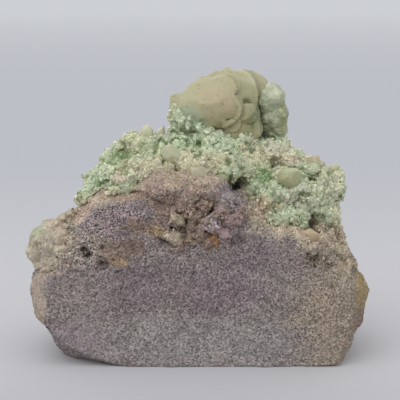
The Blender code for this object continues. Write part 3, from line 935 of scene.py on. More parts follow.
def rock_finish(name, spread, own_tone=False):
    """The sugary rock. Spread is how far single grains differ in brightness."""
    finish = Finish(name)
    tint = finish.attribute("tint", "Color")
    grain = finish.attribute("grain")
    relief = finish.attribute("relief")
    light, hue, kind = finish.chances(GRAIN_SIZE)
    fine, _, fleck = finish.chances(FINE_GRAIN_SIZE)
    brightness = 1 + ((light - 0.5) * spread + (fine - 0.5) * spread * 0.6) * grain
    if own_tone:
        brightness = brightness * (0.8 + 0.4 * finish.attribute("tone"))
    else:
        # Painted shade: the deeper a point lies, the darker it gets.
        raised = finish.ramp(relief, -2.0, -0.2)
        brightness = brightness * (PAINTED_HOLLOW_SHADE + (1 - PAINTED_HOLLOW_SHADE) * raised)
    brightness = brightness * (0.7 + 0.3 * finish.clouds(5.0) + 0.3 * finish.clouds(1.6))
    brightness = brightness * (1 - (kind < 0.09) * (1 - DARK_SPECK) * grain)
    # Painted glint: the bright flecks are brightened further.
    brightness = brightness * (1 + (fleck > 0.955) * (PALE_FLECK_AND_GLINT - 1) * grain)
    violet = finish.node(
        "ShaderNodeMix",
        {"data_type": "RGBA", "blend_type": "MULTIPLY"},
        {0: 1.0, 6: tint, 7: VIOLET_SHIFT},
        2,
    )
    colour = finish.scaled(finish.blend(hue, tint, violet), brightness)
    roughness = 0.78 - 0.4 * (fleck > 0.93)
    height = light * 0.6 + fine * 0.4
    return finish.surface(colour, roughness, height, 0.16, Subsurface_Weight=0.0)


rock_stone = rock_finish("mauve_rock", 1.1)
rock_grit = rock_finish("mauve_grit", 0.5, own_tone=True)
rock.data.materials.append(rock_stone)
print("nodes in the rock's finish:", len(rock_stone.node_tree.nodes))

# %% [markdown]
# ## Crust finish
# Sugary crystals scatter light inside, so the crust has a little subsurface. Crests get a painted
# highlight in white and clefts a painted shade in a deeper green. Ambient occlusion could find the
# clefts, but an export loses it, so the stored relief does that. Crystals that are scattered on the
# crust carry their own random tone instead, which whitens some of them, and the smoother pale lump
# gets less contrast between its grains.

# %% Crust finish
# Painted shade for the clefts, and a white that is both a random pale tone and a painted crest
# highlight.
PAINTED_CLEFT_SHADE = (*seen(98, 112, 78, CRUST_LIGHT), 1)
WHITE_TONE_AND_CREST_HIGHLIGHT = (*seen(196, 198, 180, CRUST_LIGHT), 1)


def crust_finish(name, own_tone=False, contrast=1.0):
    """The mint to white crust, with painted shade in its clefts and a painted highlight on its crests.
    """
    finish = Finish(name)
    tint = finish.attribute("tint", "Color")
    light, _, kind = finish.chances(0.7)
    fine, _, _ = finish.chances(0.4)
    brightness = 1 + (light - 0.5) * (0.35 * contrast) + (fine - 0.5) * (0.3 * contrast)
    brightness = brightness * (1 - (kind < 0.05) * (0.35 * contrast))
    if own_tone:
        tone = finish.attribute("tone")
        colour = finish.blend(finish.ramp(tone, 0.35, 1.0) * 0.5, tint, WHITE_TONE_AND_CREST_HIGHLIGHT)
        brightness = brightness * (0.9 + 0.18 * tone)
    else:
        relief = finish.attribute("relief")
        # Painted highlight on the crests and painted shade in the clefts, read from the stored relief.
        colour = finish.blend(finish.ramp(relief, 0.1, 0.5) * 0.3, tint, WHITE_TONE_AND_CREST_HIGHLIGHT)
        colour = finish.blend((1 - finish.ramp(relief, -0.85, 0.0)) * 0.9, colour, PAINTED_CLEFT_SHADE)
    colour = finish.scaled(colour, brightness)
    roughness = 0.45 + 0.2 * fine
    height = light * 0.5 + fine * 0.5
    return finish.surface(
        colour,
        roughness,
        height,
        0.12,
        Subsurface_Weight=0.25,
        Subsurface_Radius=(1.0, 1.0, 0.8),
        Subsurface_Scale=0.6 * MM,
    )


crust_sugar = crust_finish("mint_crust")
crust_crystal = crust_finish("mint_crystal", own_tone=True)
crust.data.materials.append(crust_sugar)
print("nodes in the crust's finish:", len(crust_sugar.node_tree.nodes))

# %% [markdown]
# ## Small crystals, grown by Geometry Nodes
# Thousands of crystals a millimetre long cover the crust, and finer grains cover the rock. Copying
# them in a Python loop would be slow, so this is work for Geometry Nodes: points are spread over the
# mesh, each takes one of a few model crystals, and the result becomes a plain mesh. Stubby ones make
# the sugar, longer ones the prisms and flat ones the grit. None has more than 19 faces, because
# each is there thousands of times.

# %% Model crystals
TIP_SHIFT = (0.08, 0.03)
SUGAR_RINGS = ((-0.12, 0.5),)
PRISM_RINGS = ((-0.3, 0.42), (0.25, 0.5), (0.7, 0.36))
FLAKE_RINGS = ((-0.3, 0.4), (0.15, 0.5))


def model_crystal(name, sides, rings, tip, squeeze, seed):
    """A stubby closed crystal along Z. Each ring of points has a height and a radius."""
    draw = np.random.default_rng(seed)
    shape = bmesh.new()
    loops = []
    for height, radius in rings:
        loop = []
        for side in range(sides):
            turn = math.tau * (side + draw.uniform(-0.15, 0.15)) / sides
            reach = radius * draw.uniform(0.88, 1.12)
            lift = draw.uniform(-0.05, 0.05)
            place = (math.cos(turn) * reach, math.sin(turn) * reach * squeeze, height + lift)
            loop.append(shape.verts.new(place))
        loops.append(loop)
    top = shape.verts.new((*TIP_SHIFT, tip))
    shape.faces.new(loops[0][::-1])
    for lower, upper in zip(loops, loops[1:]):
        for side in range(sides):
            after = (side + 1) % sides
            shape.faces.new((lower[side], lower[after], upper[after], upper[side]))
    for side in range(sides):
        shape.faces.new((loops[-1][side], loops[-1][(side + 1) % sides], top))
    mesh = bpy.data.meshes.new(name)
    shape.to_mesh(mesh)
    shape.free()
    return new_object(name, mesh)


sugar_models = [
    model_crystal(f"sugar_model_{seed}", 5, SUGAR_RINGS, 0.55, 0.85, seed) for seed in range(3)
]
prism_models = [
    model_crystal(f"prism_model_{seed}", 6, PRISM_RINGS, 0.85, 0.85, seed) for seed in range(3, 6)
]
flake_models = [
    model_crystal(f"flake_model_{seed}", 4, FLAKE_RINGS, 0.42, 0.8, seed) for seed in range(6, 9)
]
print("faces of a prism:", len(prism_models[0].data.polygons))

# %% [markdown]
# ## The growth tree
# Real crystals crowd on crests, thin out in clefts and take the colour of the ground they grow on. A
# plain scatter would ignore all that. This tree reads two numbers that are stored on the carrying
# mesh: `growth` says how likely a crystal is, and `size` how big it gets there. Colours pass from the
# mesh to its points and on to each crystal.

# %% Growth graph
class Growth(Graph):
    """A geometry tree that covers a mesh with crystals. Lengths are metres, and the tilt radians."""

    def number(self, low, high, seed):
        """A random number for each crystal."""
        limits = {"Min": low, "Max": high, "Seed": seed}
        return self.node("FunctionNodeRandomValue", {}, limits, "Value")

    def stored(self, name):
        """A number that the carrying mesh stores."""
        return self.node("GeometryNodeInputNamedAttribute", {}, {"Name": name}, "Attribute")

    def models(self, objects):
        """The model crystals, joined so that each point can pick one."""
        joined = self.tree.nodes.new("GeometryNodeJoinGeometry")
        for model in objects:
            shown = self.node(
                "GeometryNodeObjectInfo", {}, {"Object": model, "As Instance": True}, "Geometry"
            )
            self.tree.links.new(shown.socket, joined.inputs[0])
        return Wire(self, joined.outputs[0])


# %% Growth tree
GROWTH_SIZES = ("Spacing", "Smallest", "Largest", "Tilt")
MOST_PER_SQUARE_METRE = 60e6


def growth_tree(name, models, material, seed):
    """The tree that spreads crystals over a mesh, with a socket for each of its sizes."""
    tree = bpy.data.node_groups.new(name, "GeometryNodeTree")
    tree.interface.new_socket("Mesh", in_out="INPUT", socket_type="NodeSocketGeometry")
    for size in GROWTH_SIZES:
        tree.interface.new_socket(size, in_out="INPUT", socket_type="NodeSocketFloat")
    tree.interface.new_socket("Mesh", in_out="OUTPUT", socket_type="NodeSocketGeometry")
    graph = Growth(tree)
    mesh = graph.node("NodeGroupInput", output="Mesh")
    tilt = mesh.other("Tilt")
    points = graph.node(
        "GeometryNodeDistributePointsOnFaces",
        {"distribute_method": "POISSON"},
        {
            "Mesh": mesh,
            "Distance Min": mesh.other("Spacing"),
            "Density Max": MOST_PER_SQUARE_METRE,
            "Density Factor": graph.stored("growth"),
            "Seed": seed,
        },
    )
    turns = {
        "X": graph.number(0 - tilt, tilt, seed + 1),
        "Y": graph.number(0 - tilt, tilt, seed + 2),
        "Z": graph.number(0.0, math.tau, seed + 3),
    }
    swing = graph.node(
        "FunctionNodeEulerToRotation", {}, {0: graph.node("ShaderNodeCombineXYZ", {}, turns)}
    )
    rotation = graph.node(
        "FunctionNodeRotateRotation",
        {"rotation_space": "LOCAL"},
        {"Rotation": points.other("Rotation"), "Rotate By": swing},
    )
    size = graph.number(mesh.other("Smallest"), mesh.other("Largest"), seed + 4)
    placed = graph.node(
        "GeometryNodeInstanceOnPoints",
        {},
        {
            "Points": points,
            "Instance": graph.models(models),
            "Pick Instance": True,
            "Rotation": rotation,
            "Scale": size * graph.stored("size"),
        },
    )
    toned = graph.node(
        "GeometryNodeStoreNamedAttribute",
        {"data_type": "FLOAT", "domain": "INSTANCE"},
        {"Geometry": placed, "Name": "tone", "Value": graph.number(0.0, 1.0, seed + 5)},
    )
    real = graph.node("GeometryNodeRealizeInstances", {}, {"Geometry": toned})
    finished = graph.node(
        "GeometryNodeSetMaterial", {}, {"Geometry": real, "Material": material}
    )
    graph.node("NodeGroupOutput", {}, {"Mesh": finished})
    return tree


def grow_crystals(name, carrier, models, material, seed, spacing, smallest, largest, tilt):
    """Covers a mesh with crystals and returns them as a plain mesh. Lengths are millimetres."""
    sizes = (spacing * MM, smallest * MM, largest * MM, tilt)
    grown = new_object(name, carrier.data.copy())
    growth = grown.modifiers.new("growth", "NODES")
    growth.node_group = growth_tree(name, models, material, seed)
    identifiers = {
        item.name: item.identifier
        for item in growth.node_group.interface.items_tree
        if item.in_out == "INPUT"
    }
    for size, value in zip(GROWTH_SIZES, sizes):
        growth[identifiers[size]] = value
    baked(grown)
    print(name, "faces:", len(grown.data.polygons))
    return grown


# %% [markdown]
# ## Crystals on the crust
# The crust sparkles with stubby crystals of half a millimetre to a millimetre, and a few longer
# prisms stand out among them. They grow in clumps, and a little larger on the left slope. Two runs
# of the same tree make both kinds.

# %% Crystals on the crust
LEFT_SLOPE_ENDS = (135, 165)
LEFT_SLOPE_SIZE = 1.1


def pixels_of(points):
    """Where points show in the photo, as columns and rows."""
    offset = points - EYE
    scale = FOCAL_PIXELS / (offset @ AHEAD)
    return HALF + offset @ RIGHT * scale, HALF - offset @ UP * scale


crust_points = points_of(crust.data)
columns, _ = pixels_of(crust_points)
slope = 1 - fade(columns, *LEFT_SLOPE_ENDS)
clumps = fade(wave(crust_points, 6, 31), -0.3, 0.4)
store(crust, "size", (0.85 + 0.3 * clumps) * (1 + (LEFT_SLOPE_SIZE - 1) * slope))
crust_crystals = grow_crystals(
    "crust_crystals",
    crust,
    sugar_models,
    crust_crystal,
    seed=41,
    spacing=0.52,
    smallest=0.45,
    largest=1.0,
    tilt=0.9,
)
crust_prisms = grow_crystals(
    "crust_prisms",
    crust,
    prism_models,
    crust_crystal,
    seed=44,
    spacing=3.0,
    smallest=0.9,
    largest=1.6,
    tilt=0.7,
)

# %% [markdown]
# ## Grit on the rock
# Single grains stand out of the broken face, most of all at the coarse upper left. The remeshed
# surface is too coarse to show them, so flat flakes in the rock's own colours are scattered on it.
# None grows on the rest face, which is cut flat, or under the crust.

# %% Grit on the rock
ABOVE_REST = (0.8, 2.0)
rock_points = points_of(rock.data)
crust_gap = distance_to(crust_tree, rock_points, 5.0)
bare = fade(rock_points[:, 2], *ABOVE_REST) * fade(crust_gap, 0.2, 0.8)
store(rock, "growth", bare * np.clip(rock_grain, 0.1, 1))
store(rock, "size", 0.8 + 0.35 * fade(rock_grain, 1.0, 1.7))
grit = grow_crystals(
    "rock_grit",
    rock,
    flake_models,
    rock_grit,
    seed=51,
    spacing=1.25,
    smallest=0.45,
    largest=0.95,
    tilt=1.2,
)

# %% [markdown]
# ## Crystals where rock and crust meet
# The crust doesn't end in a line: its crystals thin out over the rock beside it, and they also sit
# in the crumbly zones. The rock's mesh carries them, so they take the beige that it has there.

# %% Crystals where rock and crust meet
hem_share = 1 - fade(crust_gap + 1.2 * wave(rock_points, 3.5, 54), 1.2, 3.0)
hem_share = np.maximum(hem_share, 0.9 * fade(crumbly, 0.3, 0.8))
store(rock, "growth", hem_share * fade(rock_points[:, 2], *ABOVE_REST))
hem_crystals = grow_crystals(
    "hem_crystals",
    rock,
    sugar_models,
    crust_crystal,
    seed=55,
    spacing=0.6,
    smallest=0.6,
    largest=1.3,
    tilt=0.9,
)

# %% [markdown]
# ## Waxy pollucite
# Pollucite has no grain: it is smooth, waxy and cloudy, and light spreads inside it. Clear glass
# with clouds in it would be closest to that, but is noisy and slow to render. So the finish is a
# painted tint with faint clouds, a strong subsurface and a soft gloss, with shallow dents. The small
# violet crystals of the hollow use it too, glossier, a little see-through and brightened all over as
# a painted glint.

# %% Waxy finish
MOTTLE = 0.2
SPECK_SHADE = 0.18


def waxy_finish(name, subsurface=0.45, transmission=0.0, polish=0.36, lift=1.0):
    """A cloudy crystal with the painted tint. A low polish shines; lift paints a glint by brightening.
    """
    finish = Finish(name)
    tint = finish.attribute("tint", "Color")
    cloud = finish.clouds(2.6, 3.0)
    haze = finish.clouds(0.8, 2.0)
    _, speck, _ = finish.chances(0.8)
    brightness = lift - MOTTLE / 2 + MOTTLE * cloud + (haze - 0.5) * MOTTLE
    brightness = brightness * (1 - (speck < 0.03) * SPECK_SHADE)
    colour = finish.scaled(tint, brightness)
    roughness = polish + 0.22 * finish.ramp(haze, 0.35, 0.7)
    height = cloud * 0.7 + haze * 0.3
    return finish.surface(
        colour,
        roughness,
        height,
        0.25,
        IOR=1.52,
        Subsurface_Weight=subsurface,
        Subsurface_Radius=(1.0, 0.9, 0.6),
        Subsurface_Scale=2.0 * MM,
        Transmission_Weight=transmission,
    )


pollucite = waxy_finish("waxy_pollucite")
# The violet gems are brightened all over as a painted glint.
violet_gem = waxy_finish("violet_gem", subsurface=0.25, transmission=0.15, polish=0.15, lift=1.4)
print("finishes so far:", [material.name for material in bpy.data.materials])

# %% [markdown]
# ## Smooth pieces
# The mass, the two botryoidal lumps, the druse of the hollow and the single crystals are all made
# alike: a fine copy with a ground colour, blobs and patches, and a relief of their own. One function
# does that for each of them, and it takes the relief as a function of the points.

# %% Smooth piece
def smooth_piece(
    name, node, voxel, ground, relief, light, patches=(), smoothing=0, blobs=(), grain=0.0
):
    """A fine piece in place of a node, with its relief given by a function."""
    piece = fine_copy(name, node, voxel, smoothing, blobs)
    points = points_of(piece.data)
    colours = np.tile(seen(*ground, light), (len(points), 1))
    rough = np.ones(len(points))
    for blob in blobs:
        offset = (points - at_depth(blob.px, blob.py, blob.deep)) / blob_sizes(blob)
        share = 1 - fade(np.linalg.norm(offset, axis=1), 0.95, 1.25)
        colours += (seen(*blob.colour, light) - colours) * share[:, None]
        rough += (blob.rough - rough) * share
    paint(piece, points, colours, grain * rough, patches, light)
    grow(piece, points, relief(points) * rough)
    print(name, "triangles:", 2 * len(piece.data.polygons))
    return piece


# %% [markdown]
# ## The big pollucite mass
# The mass is a smooth cream dome with a greener, lumpy right side. Rounded growth lobes lie over one
# another on its front, like shells: each rises gently from the left and ends in a sharp edge on its
# right. They could be sculpted by hand. Ellipses in the photo's plane do as well and are easy to
# move: the highest shell wins at each point, and its right edge falls off within a fraction of a
# millimetre.

# %% Shells and patches of the mass
Lobe = namedtuple("Lobe", "px py wide high")
Shell = namedtuple("Shell", "rise lobes")
FRONT_SHELLS = (
    Shell(1.7, (Lobe(221, 88, 15, 13), Lobe(220, 109, 21, 18))),
    Shell(0.7, (Lobe(236, 95, 22, 27),)),
    Shell(1.1, (Lobe(248, 113, 9, 10),)),
    Shell(1.0, (Lobe(252, 127, 8, 12),)),
    Shell(0.9, (Lobe(232, 124, 9, 8),)),
    Shell(0.35, (Lobe(256, 84, 14, 12),)),
)
MASS_PATCHES = [
    Patch(205, 100, 26, 24, (176, 169, 139), 0),
    Patch(219, 100, 18, 22, (179, 169, 141), 0),
    Patch(186, 96, 10, 18, (176, 174, 145), 0),
    Patch(228, 69, 16, 6, (172, 170, 142), 0),
    Patch(205, 80, 20, 7, (176, 172, 143), 0),
    Patch(246, 94, 12, 20, (165, 164, 132), 0),
    Patch(254, 78, 14, 9, (169, 169, 138), 0),
    Patch(250, 82, 4, 3, (180, 178, 154), 0),
    Patch(244, 102, 5, 3, (122, 116, 82), 0),
    Patch(244, 124, 12, 12, (164, 160, 125), 0),
    Patch(226, 120, 16, 8, (164, 159, 127), 0),
    Patch(228, 119, 3, 2, (92, 112, 68), 0),
    Patch(186, 118, 18, 12, (158, 169, 144), 0),
    Patch(255, 118, 7, 12, (146, 150, 120), 0),
]
MASS_PITS = [Pit(244, 101, 1.0, 0.6), Pit(228, 119, 0.7, 0.35), Pit(256, 104, 0.8, 0.7)]
print("shells:", len(FRONT_SHELLS), "patches:", len(MASS_PATCHES))


# %% Relief of the mass
def shell_reach(points, shell):
    """How far points lie from a shell's middle, 1 at its edge, and how far to its right."""
    columns, rows = pixels_of(points)
    ragged = 0.06 * wave(points, 3, 65)
    reaches = []
    for lobe in shell.lobes:
        across = (columns - lobe.px) / lobe.wide + ragged
        reaches.append(np.hypot(across, (rows - lobe.py) / lobe.high))
    first = shell.lobes[0]
    return np.min(reaches, axis=0), fade((columns - first.px) / first.wide, -0.9, 0.7)


def mass_relief(points):
    """Shell-like lobes in front and soft lumps at the back."""
    front = 1 - fade(points[:, 1], -2, 2)
    height = 0.15 + 0.2 * wave(points, 8, 61)
    layer = np.zeros(len(points))
    for shell in FRONT_SHELLS:
        reach, right = shell_reach(points, shell)
        layer = np.maximum(layer, shell.rise * right * (1 - fade(reach, 0.97, 1.02)))
    height += front * layer
    height += (1 - front) * 0.6 * (domes(points, 7, 62) - 0.6)
    press_pits(points, height, MASS_PITS)
    return height + 0.02 * wave(points, 1.2, 63)


mass = smooth_piece(
    "pollucite_mass",
    "pollucite_knob",
    0.38,
    (168, 165, 134),
    mass_relief,
    MASS_LIGHT,
    patches=MASS_PATCHES,
    smoothing=3,
)
mass.data.materials.append(pollucite)

# %% [markdown]
# A shell's edge is thin, so light shines through it and makes a pale rim, and what lies under it is
# in its shade. The clouded finish can't show that by itself, so both are painted into the stored tint.

# %% Painted light rims and shaded steps
PAINTED_RIM_LIGHT = 0.16
PAINTED_STEP_SHADE = 0.22

mass_points = points_of(mass.data)
# Painted light along each shell's thin rim and painted shade on the step below it.
edges = np.ones(len(mass_points))
for shell in FRONT_SHELLS:
    reach, right = shell_reach(mass_points, shell)
    edges += PAINTED_RIM_LIGHT * right * (fade(reach, 0.84, 0.95) - fade(reach, 0.97, 1.02))
    edges -= PAINTED_STEP_SHADE * right * (fade(reach, 0.99, 1.03) - fade(reach, 1.05, 1.3))
store(mass, "tint", tint_of(mass) * edges[:, None])
print("brightness at the shells:", edges.min().round(2), "to", edges.max().round(2))

# %% [markdown]
# ## The botryoidal lumps
# Two lumps are made of round, merging beads: a pale green one beside the mass and a beige one on the
# left edge. Metaballs could make beads too, but they are hard to place on a given solid. `domes`
# gives them on the fine copy, and the crust's finish paints a highlight on their crests and shade
# between them.

# %% Botryoidal lumps
def beady_relief(size, depth, seed):
    """Round beads of two sizes, as a function of the points."""

    def relief(points):
        beads = 0.15 + depth * (domes(points, size, seed) - 0.5)
        small = 0.4 * depth * (domes(points, size / 2.6, seed + 1) - 0.5)
        return beads + small + 0.06 * wave(points, 0.8, seed + 2)

    return relief


PALE_PATCHES = [
    Patch(274, 92, 10, 9, (166, 172, 152), 0),
    Patch(284, 118, 6, 14, (138, 142, 112), 0),
    # Painted shade in the gap between the mass and the pale lump.
    Patch(262, 118, 5, 12, (98, 106, 78), 0),
]
LEFT_PATCHES = [
    Patch(36, 230, 9, 9, (150, 156, 132), 0),
    Patch(28, 245, 6, 12, (158, 152, 132), 0),
    Patch(46, 250, 12, 14, (152, 142, 132), 0),
]
LEFT_BLOBS = [
    Blob(60, 226, -14, 8, 6, 3.5, (164, 150, 134)),
    Blob(66, 218, -13, 8, 5, 3.0, (162, 150, 134)),
    Blob(62, 238, -19, 8, 8, 3.5, (160, 148, 134)),
    Blob(62, 251, -21.5, 8, 8, 3.5, (156, 146, 134)),
    Blob(56, 263, -21.5, 7, 7, 3.0, (156, 146, 132)),
    Blob(49, 270, -19, 6, 6, 3.0, (154, 144, 130)),
]
pale_lump = smooth_piece(
    "pale_botryoid",
    "pale_lump",
    0.34,
    (150, 157, 136),
    beady_relief(4.6, 0.9, 81),
    FRONT_LIGHT,
    patches=PALE_PATCHES,
    smoothing=3,
)
left_cluster = smooth_piece(
    "left_botryoid",
    "left_cluster",
    0.34,
    (166, 156, 142),
    beady_relief(1.9, 0.55, 91),
    FRONT_LIGHT,
    patches=LEFT_PATCHES,
    smoothing=1,
    blobs=LEFT_BLOBS,
)
pale_lump.data.materials.append(crust_finish("pale_sugar", contrast=0.35))
left_cluster.data.materials.append(crust_sugar)

# %% [markdown]
# ## The hollow's druse
# Under the overhanging lobe sits a pocket that is packed with crystal plates and lumps: greenish
# plates on the left, tan lumps in the middle, and violet glassy crystals beside a round bead on the
# right, with rust between them. Separate crystals would leave gaps behind them, so each is a blob
# fused to the frame's druse and broken up by relief. The last number of a blob says how rough it is.

# %% Colours, pits and blobs of the hollow
TAN = (138, 124, 110)
DARK_TAN = (120, 106, 96)
PLATE_GREEN = (158, 151, 131)
PLATE_CREAM = (170, 162, 144)
BEAD_VIOLET = (144, 128, 130)
# The violet of the glassy crystals, paled by a painted glint.
VIOLET_AND_PAINTED_GLINT = (166, 156, 166)
LOBE_VIOLET = (134, 119, 117)
HOLLOW_PITS = [
    Pit(176, 228, 0.8, 1.6),
    Pit(190, 221, 0.7, 1.8),
    Pit(206, 212, 0.8, 1.6),
    Pit(218, 236, 0.8, 2.0),
    Pit(234, 231, 0.8, 2.0),
    Pit(185, 229, 0.6, 1.4),
    Pit(188, 245, 0.9, 1.4),
    Pit(203, 236, 0.6, 1.4),
    Pit(196, 207, 0.6, 1.2),
]
HOLLOW_BLOBS = [
    Blob(173, 219, -25.6, 9, 7, 1.8, PLATE_GREEN, 0.55),
    Blob(180, 221, -24.8, 6, 6, 2.0, PLATE_GREEN, 0.6),
    Blob(168, 235, -26.2, 9, 6, 1.8, PLATE_CREAM, 0.55),
    Blob(176, 239, -25.8, 7, 7, 2.0, PLATE_GREEN, 0.6),
    Blob(158, 231, -26.0, 8, 6, 2.0, OCHRE),
    Blob(190, 213, -25.4, 7, 6, 2.4, TAN),
    Blob(199, 218, -24.8, 7, 7, 2.6, TAN),
    Blob(193, 228, -25.2, 7, 7, 2.6, DARK_TAN),
    Blob(202, 231, -25.6, 7, 8, 2.6, TAN),
    Blob(195, 240, -26.6, 9, 7, 2.4, TAN),
    Blob(206, 243, -27.0, 6, 6, 2.0, DARK_TAN),
    Blob(186, 236, -24.2, 5, 8, 2.2, DARK_TAN),
    Blob(181, 247, -26.6, 7, 5, 2.0, DARK_TAN),
    Blob(206, 207, -25.2, 7, 6, 2.4, TAN),
    Blob(211, 223, -26.4, 7, 6, 2.6, VIOLET_AND_PAINTED_GLINT, 0.4),
    Blob(204, 226, -25.8, 4, 5, 2.4, BEAD_VIOLET, 0.5),
    Blob(218, 228, -26.4, 5, 6, 2.4, BEAD_VIOLET, 0.4),
    Blob(226, 234, -27.6, 6, 5.5, 2.6, BEAD_VIOLET, 0.15),
    Blob(213, 239, -26.4, 5, 6, 2.0, RUST, 0.8),
    Blob(218, 244, -27.4, 4, 3, 1.6, RUST, 0.8),
    Blob(233, 221, -27.4, 9, 6, 2.6, LOBE_VIOLET, 0.7),
    Blob(224, 212, -27.0, 9, 7, 2.4, LOBE_VIOLET, 0.8),
    Blob(241, 215, -27.2, 6, 8, 2.4, LOBE_VIOLET, 0.8),
]
print("blobs in the hollow:", len(HOLLOW_BLOBS))


# %% Druse in the hollow
def broken_relief(points):
    """Lumps a millimetre or two wide, with rough grain and deep gaps between them."""
    height = 0.8 * (domes(points, 2.3, 101) - 0.55) + 0.5 * wave(points, 2.6, 104)
    height += 0.25 * wave(points, 0.9, 102) + 0.3 * (domes(points, 1.1, 106) - 0.5)
    press_pits(points, height, HOLLOW_PITS)
    return height - 1.0 * fade(wave(points, 1.8, 103), 0.3, 0.6)


hollow = smooth_piece(
    "hollow_druse",
    "hollow_crystals",
    0.3,
    DARK_TAN,
    broken_relief,
    FRONT_LIGHT,
    blobs=HOLLOW_BLOBS,
    grain=1.0,
)
hollow.data.materials.append(rock_stone)

# %% [markdown]
# A cluster of clear violet crystals glints in the middle of the pocket, with a few more round it.
# The growth tree sets the same prisms there as on the crust, but in a glassy finish.

# %% Glassy crystals in the hollow
GLINT_PIXEL = (211, 223)
GLINT_RADIUS = (8, 12)
POCKET_DEPTH = (-22.5, -21)

hollow_points = points_of(hollow.data)
columns, rows = pixels_of(hollow_points)
glassy = 1 - fade(np.hypot(columns - GLINT_PIXEL[0], rows - GLINT_PIXEL[1]), *GLINT_RADIUS)
in_front = 1 - fade(hollow_points[:, 1], *POCKET_DEPTH)
strays = 0.35 * fade(wave(hollow_points, 2, 105), 0, 0.4)
store(hollow, "growth", in_front * np.maximum(glassy, strays))
store(hollow, "size", 0.75 + 0.5 * glassy)
hollow_gems = grow_crystals(
    "hollow_gems",
    hollow,
    prism_models,
    violet_gem,
    seed=111,
    spacing=1.0,
    smallest=0.7,
    largest=1.4,
    tilt=0.8,
)

# %% [markdown]
# ## Single crystals
# Fifteen larger crystals sit in or beside the crust, cloudy and blunt. Random planes cut each
# fine copy flat, as growth faces are, and a few rounds of smoothing wear the edges. Cutting the faces
# by hand would take long and not show at this size. Each crystal is then scaled, and moved back or
# up, until it sits in the crust as the photo shows. Its colour runs from a paler top to a darker
# foot.

# %% List of single crystals
Crystal = namedtuple("Crystal", "node colour foot slot swell sink rise", defaults=(1.0, 0.8, 0.0))
CREAM_SLOT = "cream_crystal"
OLIVE_SLOT = "olive_crystal"
AMBER_SLOT = "amber_crystal"
SINGLES = [
    Crystal("ridge_crystal_left", (176, 176, 158), (164, 170, 146), OLIVE_SLOT, 1.1, 0, -0.5),
    Crystal("ridge_crystal_right", (178, 176, 165), (166, 170, 152), CREAM_SLOT, 1.15, 0, -0.5),
    Crystal("ridge_end_crystal", (166, 169, 142), (156, 164, 134), OLIVE_SLOT, 1.0, 0, 0.3),
    Crystal("leaning_crystal", (166, 168, 146), (162, 164, 140), CREAM_SLOT, 1.15, 0.2, 0.4),
    Crystal("low_crystal", (168, 166, 144), (160, 158, 136), CREAM_SLOT, 1.0, 0.2, 0.2),
    Crystal("left_slope_crystal", (158, 166, 136), (148, 162, 128), OLIVE_SLOT),
    Crystal("small_slope_crystal", (168, 169, 146), (162, 164, 138), CREAM_SLOT, 0.9),
    Crystal("lens_crystal", (160, 155, 136), (154, 149, 126), CREAM_SLOT, 1.0, 0.7, -0.1),
    Crystal("shaded_crystal", (132, 137, 108), (120, 127, 96), OLIVE_SLOT),
    Crystal("olive_crystal", (156, 159, 130), (144, 146, 114), OLIVE_SLOT, 0.97, 1.0),
    Crystal("upper_right_crystal", (168, 160, 142), (158, 152, 134), CREAM_SLOT, 1.2, -0.8, 1.0),
    Crystal("corner_crystal", (166, 168, 146), (154, 159, 134), OLIVE_SLOT, 1.0, 0, 0.5),
    Crystal("amber_crystal", (160, 146, 124), (150, 134, 112), AMBER_SLOT, 0.9, 1.3),
    Crystal("back_crystal_left", (166, 168, 144), (150, 156, 128), CREAM_SLOT, 0.9, -3.0),
    Crystal("back_crystal_right", (162, 164, 138), (146, 150, 120), OLIVE_SLOT, 0.9, -3.0),
]
print("single crystals:", len(SINGLES))

# %% Cut and set the single crystals
FACETS = 12
FACET_KEEP = (0.74, 0.91)
FACET_SWELL = 1.1
THINNER = 0.8
WORN_EDGES = 3


def cut_facets(obj, draw, swell, shift):
    """Flattens the crystal along random planes, swells and shifts it, and wears its edges."""
    points = points_of(obj.data)
    middle = points.mean(axis=0)
    points -= middle
    for keep in draw.uniform(*FACET_KEEP, FACETS):
        way = draw.normal(size=3)
        way /= np.linalg.norm(way)
        height = points @ way
        excess = np.maximum(height - keep * height.max(), 0)
        points -= excess[:, None] * way
    points[:, 1] *= THINNER
    move_to(obj, points * FACET_SWELL * swell + middle + shift)
    shape = bmesh.new()
    shape.from_mesh(obj.data)
    axes = {"use_axis_x": True, "use_axis_y": True, "use_axis_z": True}
    for _ in range(WORN_EDGES):
        bmesh.ops.smooth_vert(shape, verts=shape.verts, factor=0.5, **axes)
    shape.to_mesh(obj.data)
    shape.free()


def worn_faces(points):
    """The shallow growth lumps of a small crystal."""
    return 0.06 * wave(points, 2.4, 121) + 0.03 * wave(points, 0.9, 122)


facet_draw = np.random.default_rng(131)
for crystal in SINGLES:
    piece = smooth_piece(
        crystal.node + "_waxy", crystal.node, 0.3, crystal.colour, worn_faces, SINGLE_LIGHT
    )
    cut_facets(piece, facet_draw, crystal.swell, (0, crystal.sink, crystal.rise))
    heights = points_of(piece.data)[:, 2]
    up = fade(heights, heights.min(), heights.max())[:, None]
    foot = seen(*crystal.foot, SINGLE_LIGHT)
    store(piece, "tint", foot + (seen(*crystal.colour, SINGLE_LIGHT) - foot) * up)
    piece.data.materials.append(pollucite)
    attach(piece, "root")
    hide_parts(crystal.node)

# %% [markdown]
# ## Shading, bodies and slots
# Remeshed surfaces are shaded smooth and grown crystals flat, so that their faces glint. The stone
# has no moving parts, so every piece rides on the one body. A piece stands for its node, if it has
# one, and names the slot that its finish belongs to.

